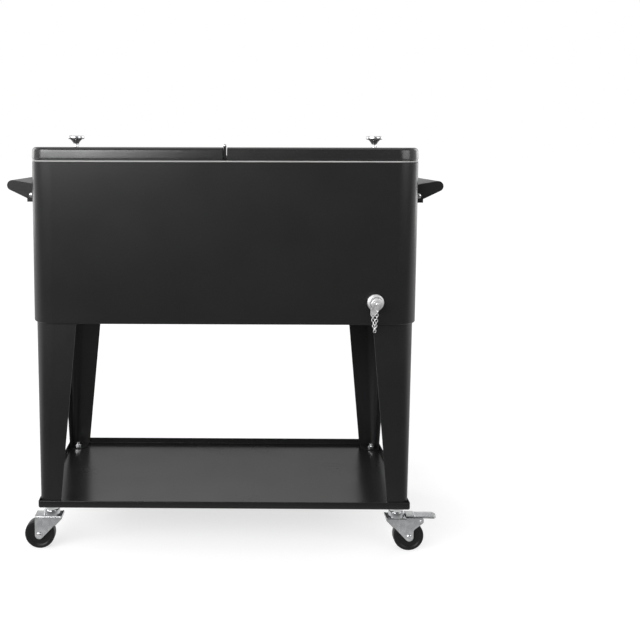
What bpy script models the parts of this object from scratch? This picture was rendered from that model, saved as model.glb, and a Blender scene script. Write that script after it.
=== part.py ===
"""Rolling patio cooler: an insulated tub with two lids on a four-legged cart with a shelf and casters.

Metres, +Z up. Z = 0 is the floor, the drain is on the front at -Y, and the lids part at X = 0.
Each piece is built around the middle of the cart. One empty then carries the whole of it, moved
back by half of what the drain stands out, so that the outline is centred on the origin.
"""

import math

import bmesh
import bpy
from mathutils import Matrix, Vector

# Driving sizes of the whole cart
BODY_LENGTH = 0.760
BODY_DEPTH = 0.381
BODY_HEIGHT = 0.3159
CORNER_RADIUS = 0.048
LID_HEIGHT = 0.0254
LEG_HEIGHT = 0.3715
CASTER_HEIGHT = 0.0965

# Sheet, clearances and smoothness that several pieces share
SHEET = 0.0012
CLEAR = 0.0003
RUNNING_GAP = 0.0004
CUT_OVERRUN = 0.004
LAP = 0.0005
CORNER_STEPS = 5
EDGE_STEPS = 2
TIP_STEPS = 8
DISC_STEPS = 16
HEX_SIDES = 6
WELD_SHARE = 0.01
SMOOTH_ANGLE = math.radians(32)

# Insulated body
WALL_INSULATION = 0.028
FLOOR_INSULATION = 0.016
LINER_WALL = 0.0025
LINER_RADIUS = 0.040
LINER_FLOOR_FILLET = 0.006
RIM_THICKNESS = 0.0026
BODY_FOOT_FILLET = 0.003

# Lids
LID_SEAT_GAP = 0.0004
LID_EDGE_RADIUS = 0.011
LID_EDGE_STEPS = 3
LID_SPLIT_BEND = 0.0015
HEM_HEIGHT = 0.0036
HEM_STEP = 0.0009
PANEL_WALL = 0.002
PLUG_DEPTH = 0.009
PLUG_GAP = 0.005
PLUG_FILLET = 0.003

# Butterfly hinge on the centre rail
HINGE_LENGTH = 0.368
KNUCKLE_COUNT = 13
KNUCKLE_RADIUS = 0.0029
KNUCKLE_GAP = 0.0006
KNUCKLE_STEPS = 8
PIN_RADIUS = 0.0014
LEAF_THICKNESS = 0.0010
LEAF_FOOT = 0.0025
WEB_THICKNESS = 0.0014
RAIL_WIDTH = 0.020
RAIL_HEIGHT = 0.009
RAIL_WALL = 0.0015
RAIL_TAB_DROP = 0.024
RAIL_TAB_WALL = 0.0015

# Lid knobs
KNOB_INSET = 0.062
KNOB_COLLAR_RADIUS = 0.0063
KNOB_COLLAR_HEIGHT = 0.0062
KNOB_CONE_RADIUS = 0.0125
KNOB_CONE_HEIGHT = 0.0105
KNOB_DISC_RADIUS = 0.0175
KNOB_DISC_HEIGHT = 0.0075
KNOB_EDGE_RADIUS = 0.0022
KNOB_STEPS = 16
KNOB_SCREW_RADIUS = 0.0022
KNOB_SCREW_BITE = 0.010
KNOB_SCREW_HEAD_RADIUS = 0.0048
KNOB_SCREW_HEAD_HEIGHT = 0.0026

# Side handles
HANDLE_REACH = 0.061
HANDLE_LENGTH = 0.210
HANDLE_BELOW_TOP = 0.0487
HANDLE_TIP_RADIUS = 0.0105
HANDLE_ROOT_RISE = 0.0025
HANDLE_ROOT_DROP = 0.035
HANDLE_WALL = 0.0020
HANDLE_CURL = math.radians(215)
BRACKET_WALL = 0.0020
BRACKET_REACH = 0.021
BRACKET_HEIGHT = 0.028
HANDLE_BOLT_OUT = 0.0112
HANDLE_BOLT_DROP = 0.0195
HANDLE_BOLT_RADIUS = 0.0030
BOLT_HEAD_RADIUS = 0.0052
BOLT_HEAD_HEIGHT = 0.0032
BOLT_NUT_HEIGHT = 0.0040

# Legs
LEG_WALL = 0.0016
LEG_TOP_INSET = 0.005
LEG_TOP_WIDTH = 0.0845
LEG_FOOT_WIDTH = 0.041
LEG_FOOT_RADIUS = 0.014
LEG_SHELF_GAP = 0.0020
LEG_PLATE = 0.0020
LEG_PLATE_SHARE = 0.97
LEG_PLATE_CHAMFER_SHARE = 0.30

# Shelf
SHELF_END_INSET = 0.0093
SHELF_SIDE_INSET = 0.0025
SHELF_SHEET = 0.0012
SHELF_RIM_HEIGHT = 0.0147
SHELF_HEM_WIDTH = 0.0022
SHELF_HEM_DEPTH = 0.0034
SHELF_FOOT_FILLET = 0.0030
SHELF_CORNER_RADIUS = 0.0045

# Casters
SWIVEL_INSET_X = 0.0207
SWIVEL_INSET_Y = 0.036
CASTER_TRAIL = 0.0245
WHEEL_RADIUS = 0.0305
WHEEL_WIDTH = 0.022
WHEEL_EDGE_RADIUS = 0.0045
WHEEL_FACE_RECESS = 0.0025
WHEEL_RIM_RADIUS = 0.0225
HUB_RADIUS = 0.0100
HUB_WIDTH = 0.0245
AXLE_RADIUS = 0.0035
AXLE_HEAD_RADIUS = 0.0058
AXLE_HEAD_HEIGHT = 0.0022
FORK_WALL = 0.0020
FORK_GAP = 0.0260
FORK_TIP_RADIUS = 0.0085
FORK_INNER_REACH = 0.020
FORK_CROWN_THICKNESS = 0.0025
FORK_WEB_LENGTH = 0.0200
FORK_RIB_WIDTH = 0.0024
FORK_RIB_HEIGHT = 0.0007
FORK_RIB_MARGIN = 0.0040
FORK_RIB_PLACES = (0.0050, 0.0160)
PLATE_SIDE = 0.040
PLATE_THICKNESS = 0.0030
PLATE_CORNER = 0.006
RACE_TOP_RADIUS = 0.0165
RACE_LOW_RADIUS = 0.0145
RACE_HEIGHT = 0.0105
DISH_HEIGHT = 0.0120
KING_PIN_RADIUS = 0.0045
KING_PIN_HEAD_RADIUS = 0.0085
KING_PIN_HEAD_HEIGHT = 0.0030
STUD_RADIUS = 0.0040
STUD_HEIGHT = 0.0160
NUT_RADIUS = 0.0072
NUT_HEIGHT = 0.0062
WHEEL_STEPS = 20
TURNED_STEPS = 12

# Wheel brakes on the right-hand casters
BRAKE_EAR_REACH = 0.0530
BRAKE_EAR_DEPTH = 0.015
PEDAL_PIVOT_X = 0.0480
PEDAL_PIVOT_DROP = 0.0065
PEDAL_START_X = 0.0185
PEDAL_END_X = 0.080
PEDAL_WIDTH = 0.0240
PEDAL_WALL = 0.0018
PEDAL_LIFT = 0.0012
PEDAL_LIP = 0.0035
PEDAL_STEP = 0.0014
PEDAL_STEP_START_X = 0.0340
PEDAL_STEP_END_X = 0.0375
PEDAL_CORNER_CUT = 0.0060
PEDAL_EYE_RADIUS = 0.0019
PEDAL_EYE_INSET = 0.0085
PEDAL_PIN_RADIUS = 0.0022
PEDAL_BOSS_RADIUS = 0.0050
PEDAL_FREE_GAP = 0.0022
SHOE_WIDTH = 0.016
SHOE_THICKNESS = 0.0044

# Drain valve
DRAIN_FROM_END = 0.0865
DRAIN_ABOVE_FOOT = 0.0449
DRAIN_BORE_RADIUS = 0.0045
DRAIN_TUBE_RADIUS = 0.0075
DRAIN_FLANGE_RADIUS = 0.0165
DRAIN_FLANGE_HEIGHT = 0.0042
DRAIN_NECK_RADIUS = 0.0082
DRAIN_NUT_RADIUS = 0.0116
DRAIN_NUT_HEIGHT = 0.0050
DRAIN_TAIL = 0.0020
STRAP_RADIUS = 0.0126
STRAP_THICKNESS = 0.0012
STRAP_EAR_DROP = 0.0235
STRAP_EAR_RADIUS = 0.0048
STRAP_TURN = math.radians(13)
CAP_RADIUS = 0.0124
CAP_LENGTH = 0.0125
CAP_FACE = 0.0026
CAP_FLUTES = 18
CAP_FLUTE_DEPTH = 0.0007
TAB_RADIUS = 0.0066
TAB_THICKNESS = 0.0012
TAB_EAR_DROP = 0.0118
TAB_EAR_RADIUS = 0.0036
EYE_RADIUS = 0.0015
EYE_MARGIN = 0.0013
RIVET_RADIUS = 0.0018
RIVET_HEAD_RADIUS = 0.0036
RIVET_HEAD_HEIGHT = 0.0022
RIVET_TAIL_RADIUS = 0.0030
RIVET_TAIL_HEIGHT = 0.0012
CHAIN_DROP = 0.0580
LINK_LENGTH = 0.0078
LINK_WIDTH = 0.0066
LINK_WIRE_RADIUS = 0.0008
LINK_LAP = 0.0003
LINK_STEPS = 6
WIRE_STEPS = 4
CHAIN_HANG_POWER = 1.4
CHAIN_ROUTE_STEPS = 400

# Heights and lines that follow from the sizes above
SHELF_LENGTH = BODY_LENGTH - 2 * SHELF_END_INSET
SHELF_DEPTH = BODY_DEPTH - 2 * SHELF_SIDE_INSET
SHELF_TOP = CASTER_HEIGHT + SHELF_SHEET
LEG_FOOT_Z = SHELF_TOP + CLEAR
LEG_TOP_Z = LEG_FOOT_Z + LEG_HEIGHT
BODY_FOOT_Z = LEG_TOP_Z + CLEAR
BODY_TOP_Z = BODY_FOOT_Z + BODY_HEIGHT
RIM_FOOT_Z = BODY_TOP_Z + CLEAR
RIM_TOP_Z = RIM_FOOT_Z + RIM_THICKNESS
LID_FOOT_Z = RIM_TOP_Z + LID_SEAT_GAP
LID_TOP_Z = LID_FOOT_Z + LID_HEIGHT
HINGE_Z = LID_TOP_Z + CLEAR + KNUCKLE_RADIUS
SPLIT_X = KNUCKLE_RADIUS + CLEAR
LINER_INSET = SHEET + CLEAR + WALL_INSULATION + CLEAR + LINER_WALL
TUB_HALF_DEPTH = BODY_DEPTH / 2 - LINER_INSET
DRAIN_X = BODY_LENGTH / 2 - DRAIN_FROM_END
DRAIN_Z = BODY_FOOT_Z + DRAIN_ABOVE_FOOT
DRAIN_REACH = (
    CLEAR + DRAIN_FLANGE_HEIGHT + CLEAR + STRAP_THICKNESS + CLEAR + CAP_LENGTH
    + CLEAR + TAB_THICKNESS + CLEAR + RIVET_HEAD_HEIGHT
)

# Finishes: colour, roughness and metallic value
BLACK_COAT = ((0.022, 0.022, 0.023), 0.38, 0.0)
LIGHT_PLASTIC = ((0.62, 0.62, 0.60), 0.45, 0.0)
FOAM = ((0.80, 0.74, 0.52), 0.90, 0.0)
BRIGHT_ZINC = ((0.66, 0.67, 0.69), 0.32, 1.0)
CHROME = ((0.80, 0.80, 0.81), 0.10, 1.0)
STEEL = ((0.55, 0.55, 0.56), 0.35, 1.0)
BLACK_RUBBER = ((0.018, 0.018, 0.018), 0.60, 0.0)


def clear_scene():
    for obj in list(bpy.data.objects):
        bpy.data.objects.remove(obj)


def object_from(bm, name):
    """A linked object with the bmesh's geometry, its faces turned outwards."""
    bmesh.ops.recalc_face_normals(bm, faces=bm.faces)
    mesh = bpy.data.meshes.new(name)
    bm.to_mesh(mesh)
    bm.free()
    obj = bpy.data.objects.new(name, mesh)
    bpy.context.scene.collection.objects.link(obj)
    return obj


def finish(obj, name, look):
    """Names the piece and gives it a material of its own."""
    colour, roughness, metallic = look
    material = bpy.data.materials.new(name)
    material.use_nodes = True
    shader = material.node_tree.nodes["Principled BSDF"]
    shader.inputs["Base Color"].default_value = (*colour, 1.0)
    shader.inputs["Roughness"].default_value = roughness
    shader.inputs["Metallic"].default_value = metallic
    obj.name = name
    obj.data.materials.clear()
    obj.data.materials.append(material)
    obj.data.shade_smooth()
    obj.data.set_sharp_from_angle(angle=SMOOTH_ANGLE)
    return obj


def empty(name, place, parent=None, turn=0.0):
    """A frame that carries pieces; its own place is given in its parent's frame."""
    obj = bpy.data.objects.new(name, None)
    obj.parent = parent
    obj.location = place
    obj.rotation_euler = (0.0, 0.0, turn)
    bpy.context.scene.collection.objects.link(obj)
    return obj


def hold(parent, piece):
    """Parents a piece that was built in the cart's own coordinates, without moving it."""
    piece.parent = parent
    piece.location = -parent.location if parent.parent else Vector()


def carry(parent, piece):
    """Parents a piece that was built in the parent's own coordinates."""
    piece.parent = parent


def combine(target, tool, operation="DIFFERENCE"):
    """Cuts the tool out of the target, or joins it on, and takes the tool away."""
    modifier = target.modifiers.new(operation, "BOOLEAN")
    modifier.operation = operation
    modifier.object = tool
    graph = bpy.context.evaluated_depsgraph_get()
    result = bpy.data.meshes.new_from_object(target.evaluated_get(graph))
    target.modifiers.clear()
    target.data = result
    bpy.data.objects.remove(tool)
    return target


def join(target, *others):
    for other in others:
        combine(target, other, "UNION")
    return target


def cut(target, *others):
    for other in others:
        combine(target, other)
    return target


def copy_of(obj, name, look):
    """Another object that shares the mesh."""
    twin = bpy.data.objects.new(name, obj.data.copy())
    bpy.context.scene.collection.objects.link(twin)
    return finish(twin, name, look)


def lofted(name, rings):
    """A closed solid through rings of equal length, capped at both ends.

    Rings run anticlockwise seen from above. A path that climbs outside and comes down inside makes
    a vessel; one that comes down inside and climbs outside makes a cover.
    """
    bm = bmesh.new()
    loops = [[bm.verts.new(point) for point in ring] for ring in rings]
    count = len(loops[0])
    bm.faces.new(reversed(loops[0]))
    for low, high in zip(loops, loops[1:]):
        for i in range(count):
            j = (i + 1) % count
            bm.faces.new((low[i], low[j], high[j], high[i]))
    bm.faces.new(loops[-1])
    return object_from(bm, name)


def extruded(name, outline, start, end, axis="Y"):
    """A flat outline pushed out along an axis. Along Y the outline is (x, z), along Z it is (x, y)."""
    bm = bmesh.new()
    place = {
        "Y": lambda a, b: (a, start, b),
        "Z": lambda a, b: (a, b, start),
    }[axis]
    face = bm.faces.new([bm.verts.new(place(a, b)) for a, b in outline])
    push = Vector((0, end - start, 0)) if axis == "Y" else Vector((0, 0, end - start))
    moved = bmesh.ops.extrude_face_region(bm, geom=[face])["geom"]
    corners = [item for item in moved if isinstance(item, bmesh.types.BMVert)]
    bmesh.ops.translate(bm, verts=corners, vec=push)
    return object_from(bm, name)


def turned(name, profile, steps=TURNED_STEPS, axis="Z", centre=(0, 0, 0)):
    """A profile of (radius, height) turned a full circle; heights run along the axis."""
    bm = bmesh.new()
    points = [bm.verts.new((radius, 0, height)) for radius, height in profile]
    edges = [bm.edges.new(pair) for pair in zip(points, points[1:])]
    if min(profile[0][0], profile[-1][0]) > 0:
        edges.append(bm.edges.new((points[-1], points[0])))
    bmesh.ops.spin(
        bm,
        geom=points + edges,
        axis=(0, 0, 1),
        cent=(0, 0, 0),
        steps=steps,
        angle=math.tau,
        use_merge=True,
    )
    bmesh.ops.remove_doubles(bm, verts=bm.verts, dist=CLEAR * WELD_SHARE)
    if axis == "Y":
        bmesh.ops.rotate(bm, verts=bm.verts, matrix=Matrix.Rotation(math.pi / 2, 3, "X"))
    if axis == "X":
        bmesh.ops.rotate(bm, verts=bm.verts, matrix=Matrix.Rotation(math.pi / 2, 3, "Y"))
    bmesh.ops.translate(bm, verts=bm.verts, vec=Vector(centre))
    return object_from(bm, name)


def arc(centre, radius, start, end, steps):
    """Points from angle start to angle end, both included."""
    angles = [start + (end - start) * i / steps for i in range(steps + 1)]
    return [(centre[0] + radius * math.cos(a), centre[1] + radius * math.sin(a)) for a in angles]


def plan(half_x, half_y, radius, z):
    """A ring of a rectangle with round corners, anticlockwise from the front right."""
    corners = ((1, -1), (1, 1), (-1, 1), (-1, -1))
    ring = []
    for quarter, (sx, sy) in enumerate(corners):
        centre = (sx * (half_x - radius), sy * (half_y - radius))
        start = (quarter - 1) * math.pi / 2
        ring += [(x, y, z) for x, y in arc(centre, radius, start, start + math.pi / 2, CORNER_STEPS)]
    return ring


def body_ring(inset, z, radius=None):
    """A ring round the body, drawn in from its outside."""
    radius = CORNER_RADIUS - inset if radius is None else radius
    return plan(BODY_LENGTH / 2 - inset, BODY_DEPTH / 2 - inset, radius, z)


def strip(points, thickness):
    """The outline of a sheet of the given thickness, bent along a run of points on its middle."""
    left, right = [], []
    for i, point in enumerate(points):
        before = points[max(i - 1, 0)]
        after = points[min(i + 1, len(points) - 1)]
        ins = Vector((point[0] - before[0], point[1] - before[1]))
        outs = Vector((after[0] - point[0], after[1] - point[1]))
        ins = outs if ins.length == 0 else ins
        outs = ins if outs.length == 0 else outs
        along = ins.normalized() + outs.normalized()
        side = Vector((-along.y, along.x)).normalized()
        reach = thickness / 2 / max(side.dot(Vector((-ins.y, ins.x)).normalized()), math.cos(math.pi / 3))
        left.append((point[0] + side.x * reach, point[1] + side.y * reach))
        right.append((point[0] - side.x * reach, point[1] - side.y * reach))
    return left + right[::-1]


def touch(point, centre, radius, side):
    """The angle at which a line from the point touches the circle, on its left (1) or right (-1)."""
    away = Vector((point[0] - centre[0], point[1] - centre[1]))
    return math.atan2(away.y, away.x) + side * math.acos(radius / away.length)


def drum(name, radius, start, end, axis, centre, steps=TURNED_STEPS):
    """A plain cylinder along an axis, from start to end."""
    profile = ((0, start), (radius, start), (radius, end), (0, end))
    return turned(name, profile, steps, axis, centre)


def drain_drum(name, radius, start, end, steps=TURNED_STEPS):
    """A cylinder on the drain's axis, measured outwards from the body's front face."""
    return drum(name, radius, start, end, "Y", (DRAIN_X, -BODY_DEPTH / 2, DRAIN_Z), steps)


def make_body(cart):
    """Outer shell, insulation and liner, one inside the other, with the drain's hole through them."""
    fillet = BODY_FOOT_FILLET
    shell = lofted("outer_shell", [
        body_ring(fillet, BODY_FOOT_Z),
        body_ring(fillet * (1 - math.sin(math.pi / 4)), BODY_FOOT_Z + fillet * (1 - math.cos(math.pi / 4))),
        body_ring(0, BODY_FOOT_Z + fillet),
        body_ring(0, BODY_TOP_Z),
        body_ring(SHEET, BODY_TOP_Z),
        body_ring(SHEET, BODY_FOOT_Z + fillet),
        body_ring(fillet, BODY_FOOT_Z + SHEET),
    ])
    outside = SHEET + CLEAR
    inside = outside + WALL_INSULATION
    foam_foot = BODY_FOOT_Z + outside
    foam_radius = LINER_RADIUS + LINER_WALL + CLEAR
    foam_floor = foam_foot + FLOOR_INSULATION
    floor_fillet = LINER_FLOOR_FILLET
    insulation = lofted("body_insulation", [
        body_ring(outside + fillet, foam_foot),
        body_ring(outside, foam_foot + fillet),
        body_ring(outside, BODY_TOP_Z),
        body_ring(inside, BODY_TOP_Z, foam_radius),
        body_ring(inside, foam_floor + floor_fillet, foam_radius),
        body_ring(inside + floor_fillet, foam_floor, foam_radius - floor_fillet),
    ])
    skin = inside + CLEAR
    skin_radius = foam_radius - CLEAR
    liner_foot = foam_floor + CLEAR
    wall = LINER_WALL
    liner = lofted("inner_liner", [
        body_ring(skin + floor_fillet, liner_foot, skin_radius - floor_fillet),
        body_ring(skin, liner_foot + floor_fillet, skin_radius),
        body_ring(skin, RIM_FOOT_Z, skin_radius),
        body_ring(0, RIM_FOOT_Z),
        body_ring(0, RIM_TOP_Z),
        body_ring(skin, RIM_TOP_Z, skin_radius),
        body_ring(skin + wall, RIM_TOP_Z - wall, LINER_RADIUS),
        body_ring(skin + wall, liner_foot + floor_fillet, LINER_RADIUS),
        body_ring(skin + wall + floor_fillet / 2,
                  liner_foot + wall + floor_fillet * (1 - math.cos(math.pi / 4)),
                  LINER_RADIUS - floor_fillet / 2),
        body_ring(skin + floor_fillet + wall, liner_foot + wall, LINER_RADIUS - floor_fillet),
    ])
    hole = DRAIN_TUBE_RADIUS + CLEAR
    for piece in (shell, insulation, liner):
        cut(piece, drain_drum("drain_hole", hole, -LINER_INSET - CUT_OVERRUN, CUT_OVERRUN))
    hold(cart, finish(shell, "outer_shell", BLACK_COAT))
    hold(cart, finish(insulation, "body_insulation", FOAM))
    hold(cart, finish(liner, "inner_liner", LIGHT_PLASTIC))


def lid_ring(side, inset, split_inset, z, radius=None):
    """A ring round one lid: round corners at the far end, square ones where the lids part."""
    radius = CORNER_RADIUS - inset if radius is None else radius
    near = SPLIT_X + split_inset
    far = BODY_LENGTH / 2 - inset
    half = BODY_DEPTH / 2 - inset
    ring = [(near, -half)]
    ring += arc((far - radius, radius - half), radius, -math.pi / 2, 0, CORNER_STEPS)
    ring += arc((far - radius, half - radius), radius, 0, math.pi / 2, CORNER_STEPS)
    ring.append((near, half))
    points = [(side * x, y, z) for x, y in ring]
    return points if side > 0 else points[::-1]


def lid_edge(side, inset, top, radius, bend, steps=LID_EDGE_STEPS):
    """The rounded top edge of a lid, from its wall to its top."""
    rings = []
    for i in range(steps + 1):
        a = math.pi / 2 * i / steps
        drawn_in = 1 - math.cos(a)
        rings.append(lid_ring(side, inset + radius * drawn_in, inset + bend * drawn_in,
                              top - radius * (1 - math.sin(a))))
    return rings


def knob_x(side):
    return side * (BODY_LENGTH / 2 - KNOB_INSET)


def make_lid(side, hand, pivot):
    """One lid: a pressed skin with a stepped hem, foam, and an inner panel that plugs the mouth."""
    hem_top = LID_FOOT_Z + HEM_HEIGHT
    inner_edge = lid_edge(side, SHEET, LID_TOP_Z - SHEET, LID_EDGE_RADIUS - SHEET, LID_SPLIT_BEND)
    hem = HEM_STEP + SHEET
    skin = lofted("lid_skin", [
        *inner_edge[::-1],
        lid_ring(side, SHEET, SHEET, hem_top + SHEET),
        lid_ring(side, hem, SHEET, hem_top),
        lid_ring(side, hem, SHEET, LID_FOOT_Z),
        lid_ring(side, HEM_STEP, 0, LID_FOOT_Z),
        lid_ring(side, HEM_STEP, 0, hem_top - HEM_STEP),
        lid_ring(side, 0, 0, hem_top),
        *lid_edge(side, 0, LID_TOP_Z, LID_EDGE_RADIUS, LID_SPLIT_BEND),
    ])
    rim = hem + CLEAR
    split_rim = SHEET + CLEAR
    plug = LINER_INSET + PLUG_GAP
    plug_radius = LINER_RADIUS - PLUG_GAP
    split_plug = RAIL_WIDTH / 2 + PLUG_GAP - SPLIT_X
    panel_z = LID_FOOT_Z + CLEAR
    plug_z = RIM_TOP_Z - PLUG_DEPTH
    wall = PANEL_WALL
    panel = lofted("lid_panel", [
        lid_ring(side, plug + PLUG_FILLET, split_plug + PLUG_FILLET, plug_z, plug_radius - PLUG_FILLET),
        lid_ring(side, plug, split_plug, plug_z + PLUG_FILLET, plug_radius),
        lid_ring(side, plug, split_plug, panel_z, plug_radius),
        lid_ring(side, rim, split_rim, panel_z),
        lid_ring(side, rim, split_rim, panel_z + wall),
        lid_ring(side, plug + wall, split_plug + wall, panel_z + wall, plug_radius - wall),
        lid_ring(side, plug + wall, split_plug + wall, plug_z + PLUG_FILLET, plug_radius - wall),
        lid_ring(side, plug + wall + PLUG_FILLET, split_plug + wall + PLUG_FILLET, plug_z + wall,
                 plug_radius - wall - PLUG_FILLET),
    ])
    core = plug + wall + CLEAR
    split_core = split_plug + wall + CLEAR
    core_radius = plug_radius - wall - CLEAR
    foam_side = SHEET + CLEAR
    above_hem = hem_top + SHEET + CLEAR
    foam = lofted("lid_foam", [
        lid_ring(side, core + PLUG_FILLET, split_core + PLUG_FILLET, plug_z + wall + CLEAR,
                 core_radius - PLUG_FILLET),
        lid_ring(side, core, split_core, plug_z + PLUG_FILLET + CLEAR, core_radius),
        lid_ring(side, core, split_core, panel_z + wall + CLEAR, core_radius),
        lid_ring(side, rim, split_rim, panel_z + wall + CLEAR),
        lid_ring(side, rim, split_rim, hem_top),
        lid_ring(side, foam_side, foam_side, above_hem),
        *lid_edge(side, foam_side, LID_TOP_Z - foam_side, LID_EDGE_RADIUS - foam_side, LID_SPLIT_BEND, 1),
    ])
    hole = KNOB_SCREW_RADIUS + CLEAR
    for piece in (skin, panel, foam):
        cut(piece, drum("screw_hole", hole, plug_z - CUT_OVERRUN, LID_TOP_Z + CUT_OVERRUN, "Z",
                        (knob_x(side), 0, 0)))
    hold(pivot, finish(skin, f"lid_{hand}", BLACK_COAT))
    hold(pivot, finish(panel, f"lid_panel_{hand}", LIGHT_PLASTIC))
    hold(pivot, finish(foam, f"lid_foam_{hand}", FOAM))
    return plug_z


def make_knob(side, hand, pivot, plug_z):
    """A turned knob on the lid and the screw that holds it from inside."""
    foot = LID_TOP_Z + CLEAR
    cone_foot = foot + KNOB_COLLAR_HEIGHT
    disc_foot = cone_foot + KNOB_CONE_HEIGHT
    top = disc_foot + KNOB_DISC_HEIGHT
    edge = KNOB_EDGE_RADIUS
    bore = KNOB_SCREW_RADIUS + CLEAR
    bore_top = foot + KNOB_SCREW_BITE + CLEAR
    rounded = KNOB_DISC_RADIUS - edge
    profile = [(0, bore_top), (bore, bore_top), (bore, foot), (KNOB_COLLAR_RADIUS, foot),
               (KNOB_COLLAR_RADIUS, cone_foot), (KNOB_CONE_RADIUS, disc_foot)]
    profile += arc((rounded, disc_foot + edge), edge, -math.pi / 2, 0, EDGE_STEPS)
    profile += arc((rounded, top - edge), edge, 0, math.pi / 2, EDGE_STEPS)
    profile.append((0, top))
    centre = (knob_x(side), 0, 0)
    knob = turned("knob", profile, KNOB_STEPS, "Z", centre)
    head_z = plug_z - CLEAR
    screw_profile = [(0, head_z - KNOB_SCREW_HEAD_HEIGHT)]
    screw_profile.append((KNOB_SCREW_HEAD_RADIUS * 2 / 3, head_z - KNOB_SCREW_HEAD_HEIGHT))
    screw_profile.append((KNOB_SCREW_HEAD_RADIUS, head_z - KNOB_SCREW_HEAD_HEIGHT / 3))
    screw_profile.append((KNOB_SCREW_HEAD_RADIUS, head_z))
    screw_profile.append((KNOB_SCREW_RADIUS, head_z))
    screw_profile.append((KNOB_SCREW_RADIUS, foot + KNOB_SCREW_BITE))
    screw_profile.append((0, foot + KNOB_SCREW_BITE))
    screw = turned("knob_screw", screw_profile, KNUCKLE_STEPS, "Z", centre)
    hold(pivot, finish(knob, f"knob_{hand}", CHROME))
    hold(pivot, finish(screw, f"knob_screw_{hand}", STEEL))


def knuckle_spans(first):
    """Start and end in Y of every third knuckle, from the given one."""
    pitch = HINGE_LENGTH / KNUCKLE_COUNT
    spans = []
    for i in range(first, KNUCKLE_COUNT, 3):
        start = i * pitch - HINGE_LENGTH / 2
        spans.append((start + KNUCKLE_GAP / 2, start + pitch - KNUCKLE_GAP / 2))
    return spans


def bore_through(piece):
    bore = PIN_RADIUS + CLEAR
    half = HINGE_LENGTH / 2 + CUT_OVERRUN
    return cut(piece, drum("pin_bore", bore, -half, half, "Y", (0, 0, HINGE_Z), KNUCKLE_STEPS))


def make_hinge(cart, pivots):
    """Centre rail across the mouth with fixed knuckles, one leaf on each lid, and the pin through all."""
    half = HINGE_LENGTH / 2
    web = WEB_THICKNESS / 2
    radius = KNUCKLE_RADIUS
    free_top = HINGE_Z - radius - RUNNING_GAP
    rail_top = RIM_TOP_Z - CLEAR
    rail_foot = rail_top - RAIL_HEIGHT
    wide = RAIL_WIDTH / 2
    inner = wide - RAIL_WALL
    under = rail_top - RAIL_WALL
    section = [(-wide, rail_foot), (-inner, rail_foot), (-inner, under), (inner, under),
               (inner, rail_foot), (wide, rail_foot), (wide, rail_top), (-wide, rail_top)]
    span = TUB_HALF_DEPTH - CLEAR
    rail = extruded("centre_rail", section, -span, span)
    lapped = under + RAIL_WALL / 2
    upright = [(-web, lapped), (web, lapped), (web, free_top), (-web, free_top)]
    join(rail, extruded("upright", upright, -span, span))
    over_rim = RIM_TOP_Z + CLEAR
    bridge = [(-web, over_rim), (web, over_rim), (web, free_top), (-web, free_top)]
    join(rail, extruded("bridge", bridge, -half, half))
    tab_foot = rail_top - RAIL_TAB_DROP
    tab = [(-wide, tab_foot), (wide, tab_foot), (wide, rail_top), (-wide, rail_top)]
    for end in (-1, 1):
        start, stop = sorted((end * (span - RAIL_TAB_WALL), end * span))
        join(rail, extruded("tab", tab, start, stop))
    for start, stop in knuckle_spans(0):
        stem = [(-web, free_top - LAP), (web, free_top - LAP), (web, HINGE_Z), (-web, HINGE_Z)]
        knuckle = drum("knuckle", radius, -stop, -start, "Y", (0, 0, HINGE_Z), KNUCKLE_STEPS)
        join(rail, join(extruded("stem", stem, start, stop), knuckle))
    hold(cart, finish(bore_through(rail), "centre_rail", STEEL))

    for first, side, hand in ((1, -1, "left"), (2, 1, "right")):
        outer = side * radius
        inner = side * (radius - LEAF_THICKNESS)
        foot = LID_FOOT_Z + LEAF_FOOT
        leaf = [(outer, foot), (inner, foot), (inner, free_top), (outer, free_top)]
        leaf = extruded("leaf", leaf, -half, half)
        for start, stop in knuckle_spans(first):
            lapped = free_top - LAP
            tongue = [(outer, lapped), (inner, lapped), (inner, HINGE_Z), (outer, HINGE_Z)]
            knuckle = drum("knuckle", radius, -stop, -start, "Y", (0, 0, HINGE_Z), KNUCKLE_STEPS)
            join(leaf, join(extruded("tongue", tongue, start, stop), knuckle))
        hold(pivots[hand], finish(bore_through(leaf), f"hinge_leaf_{hand}", STEEL))

    reach = half + CLEAR
    head = KNUCKLE_RADIUS - CLEAR
    profile = [(0, -reach - head / 2), (head * 2 / 3, -reach - head / 2), (head, -reach),
               (PIN_RADIUS, -reach), (PIN_RADIUS, reach), (head, reach), (head * 2 / 3, reach + head / 2),
               (0, reach + head / 2)]
    pin = turned("hinge_pin", profile, KNUCKLE_STEPS, "Y", (0, 0, HINGE_Z))
    hold(cart, finish(pin, "hinge_pin", STEEL))


def handle_outline(centre, root_top, root_low):
    """The side of a handle: two straight edges from the wall that touch the round tip."""
    high = touch(root_top, centre, HANDLE_TIP_RADIUS, -1)
    low = touch(root_low, centre, HANDLE_TIP_RADIUS, 1)
    sweep = (high - low) % math.tau
    return [root_low, *arc(centre, HANDLE_TIP_RADIUS, high - sweep, high, TIP_STEPS), root_top]


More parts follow.
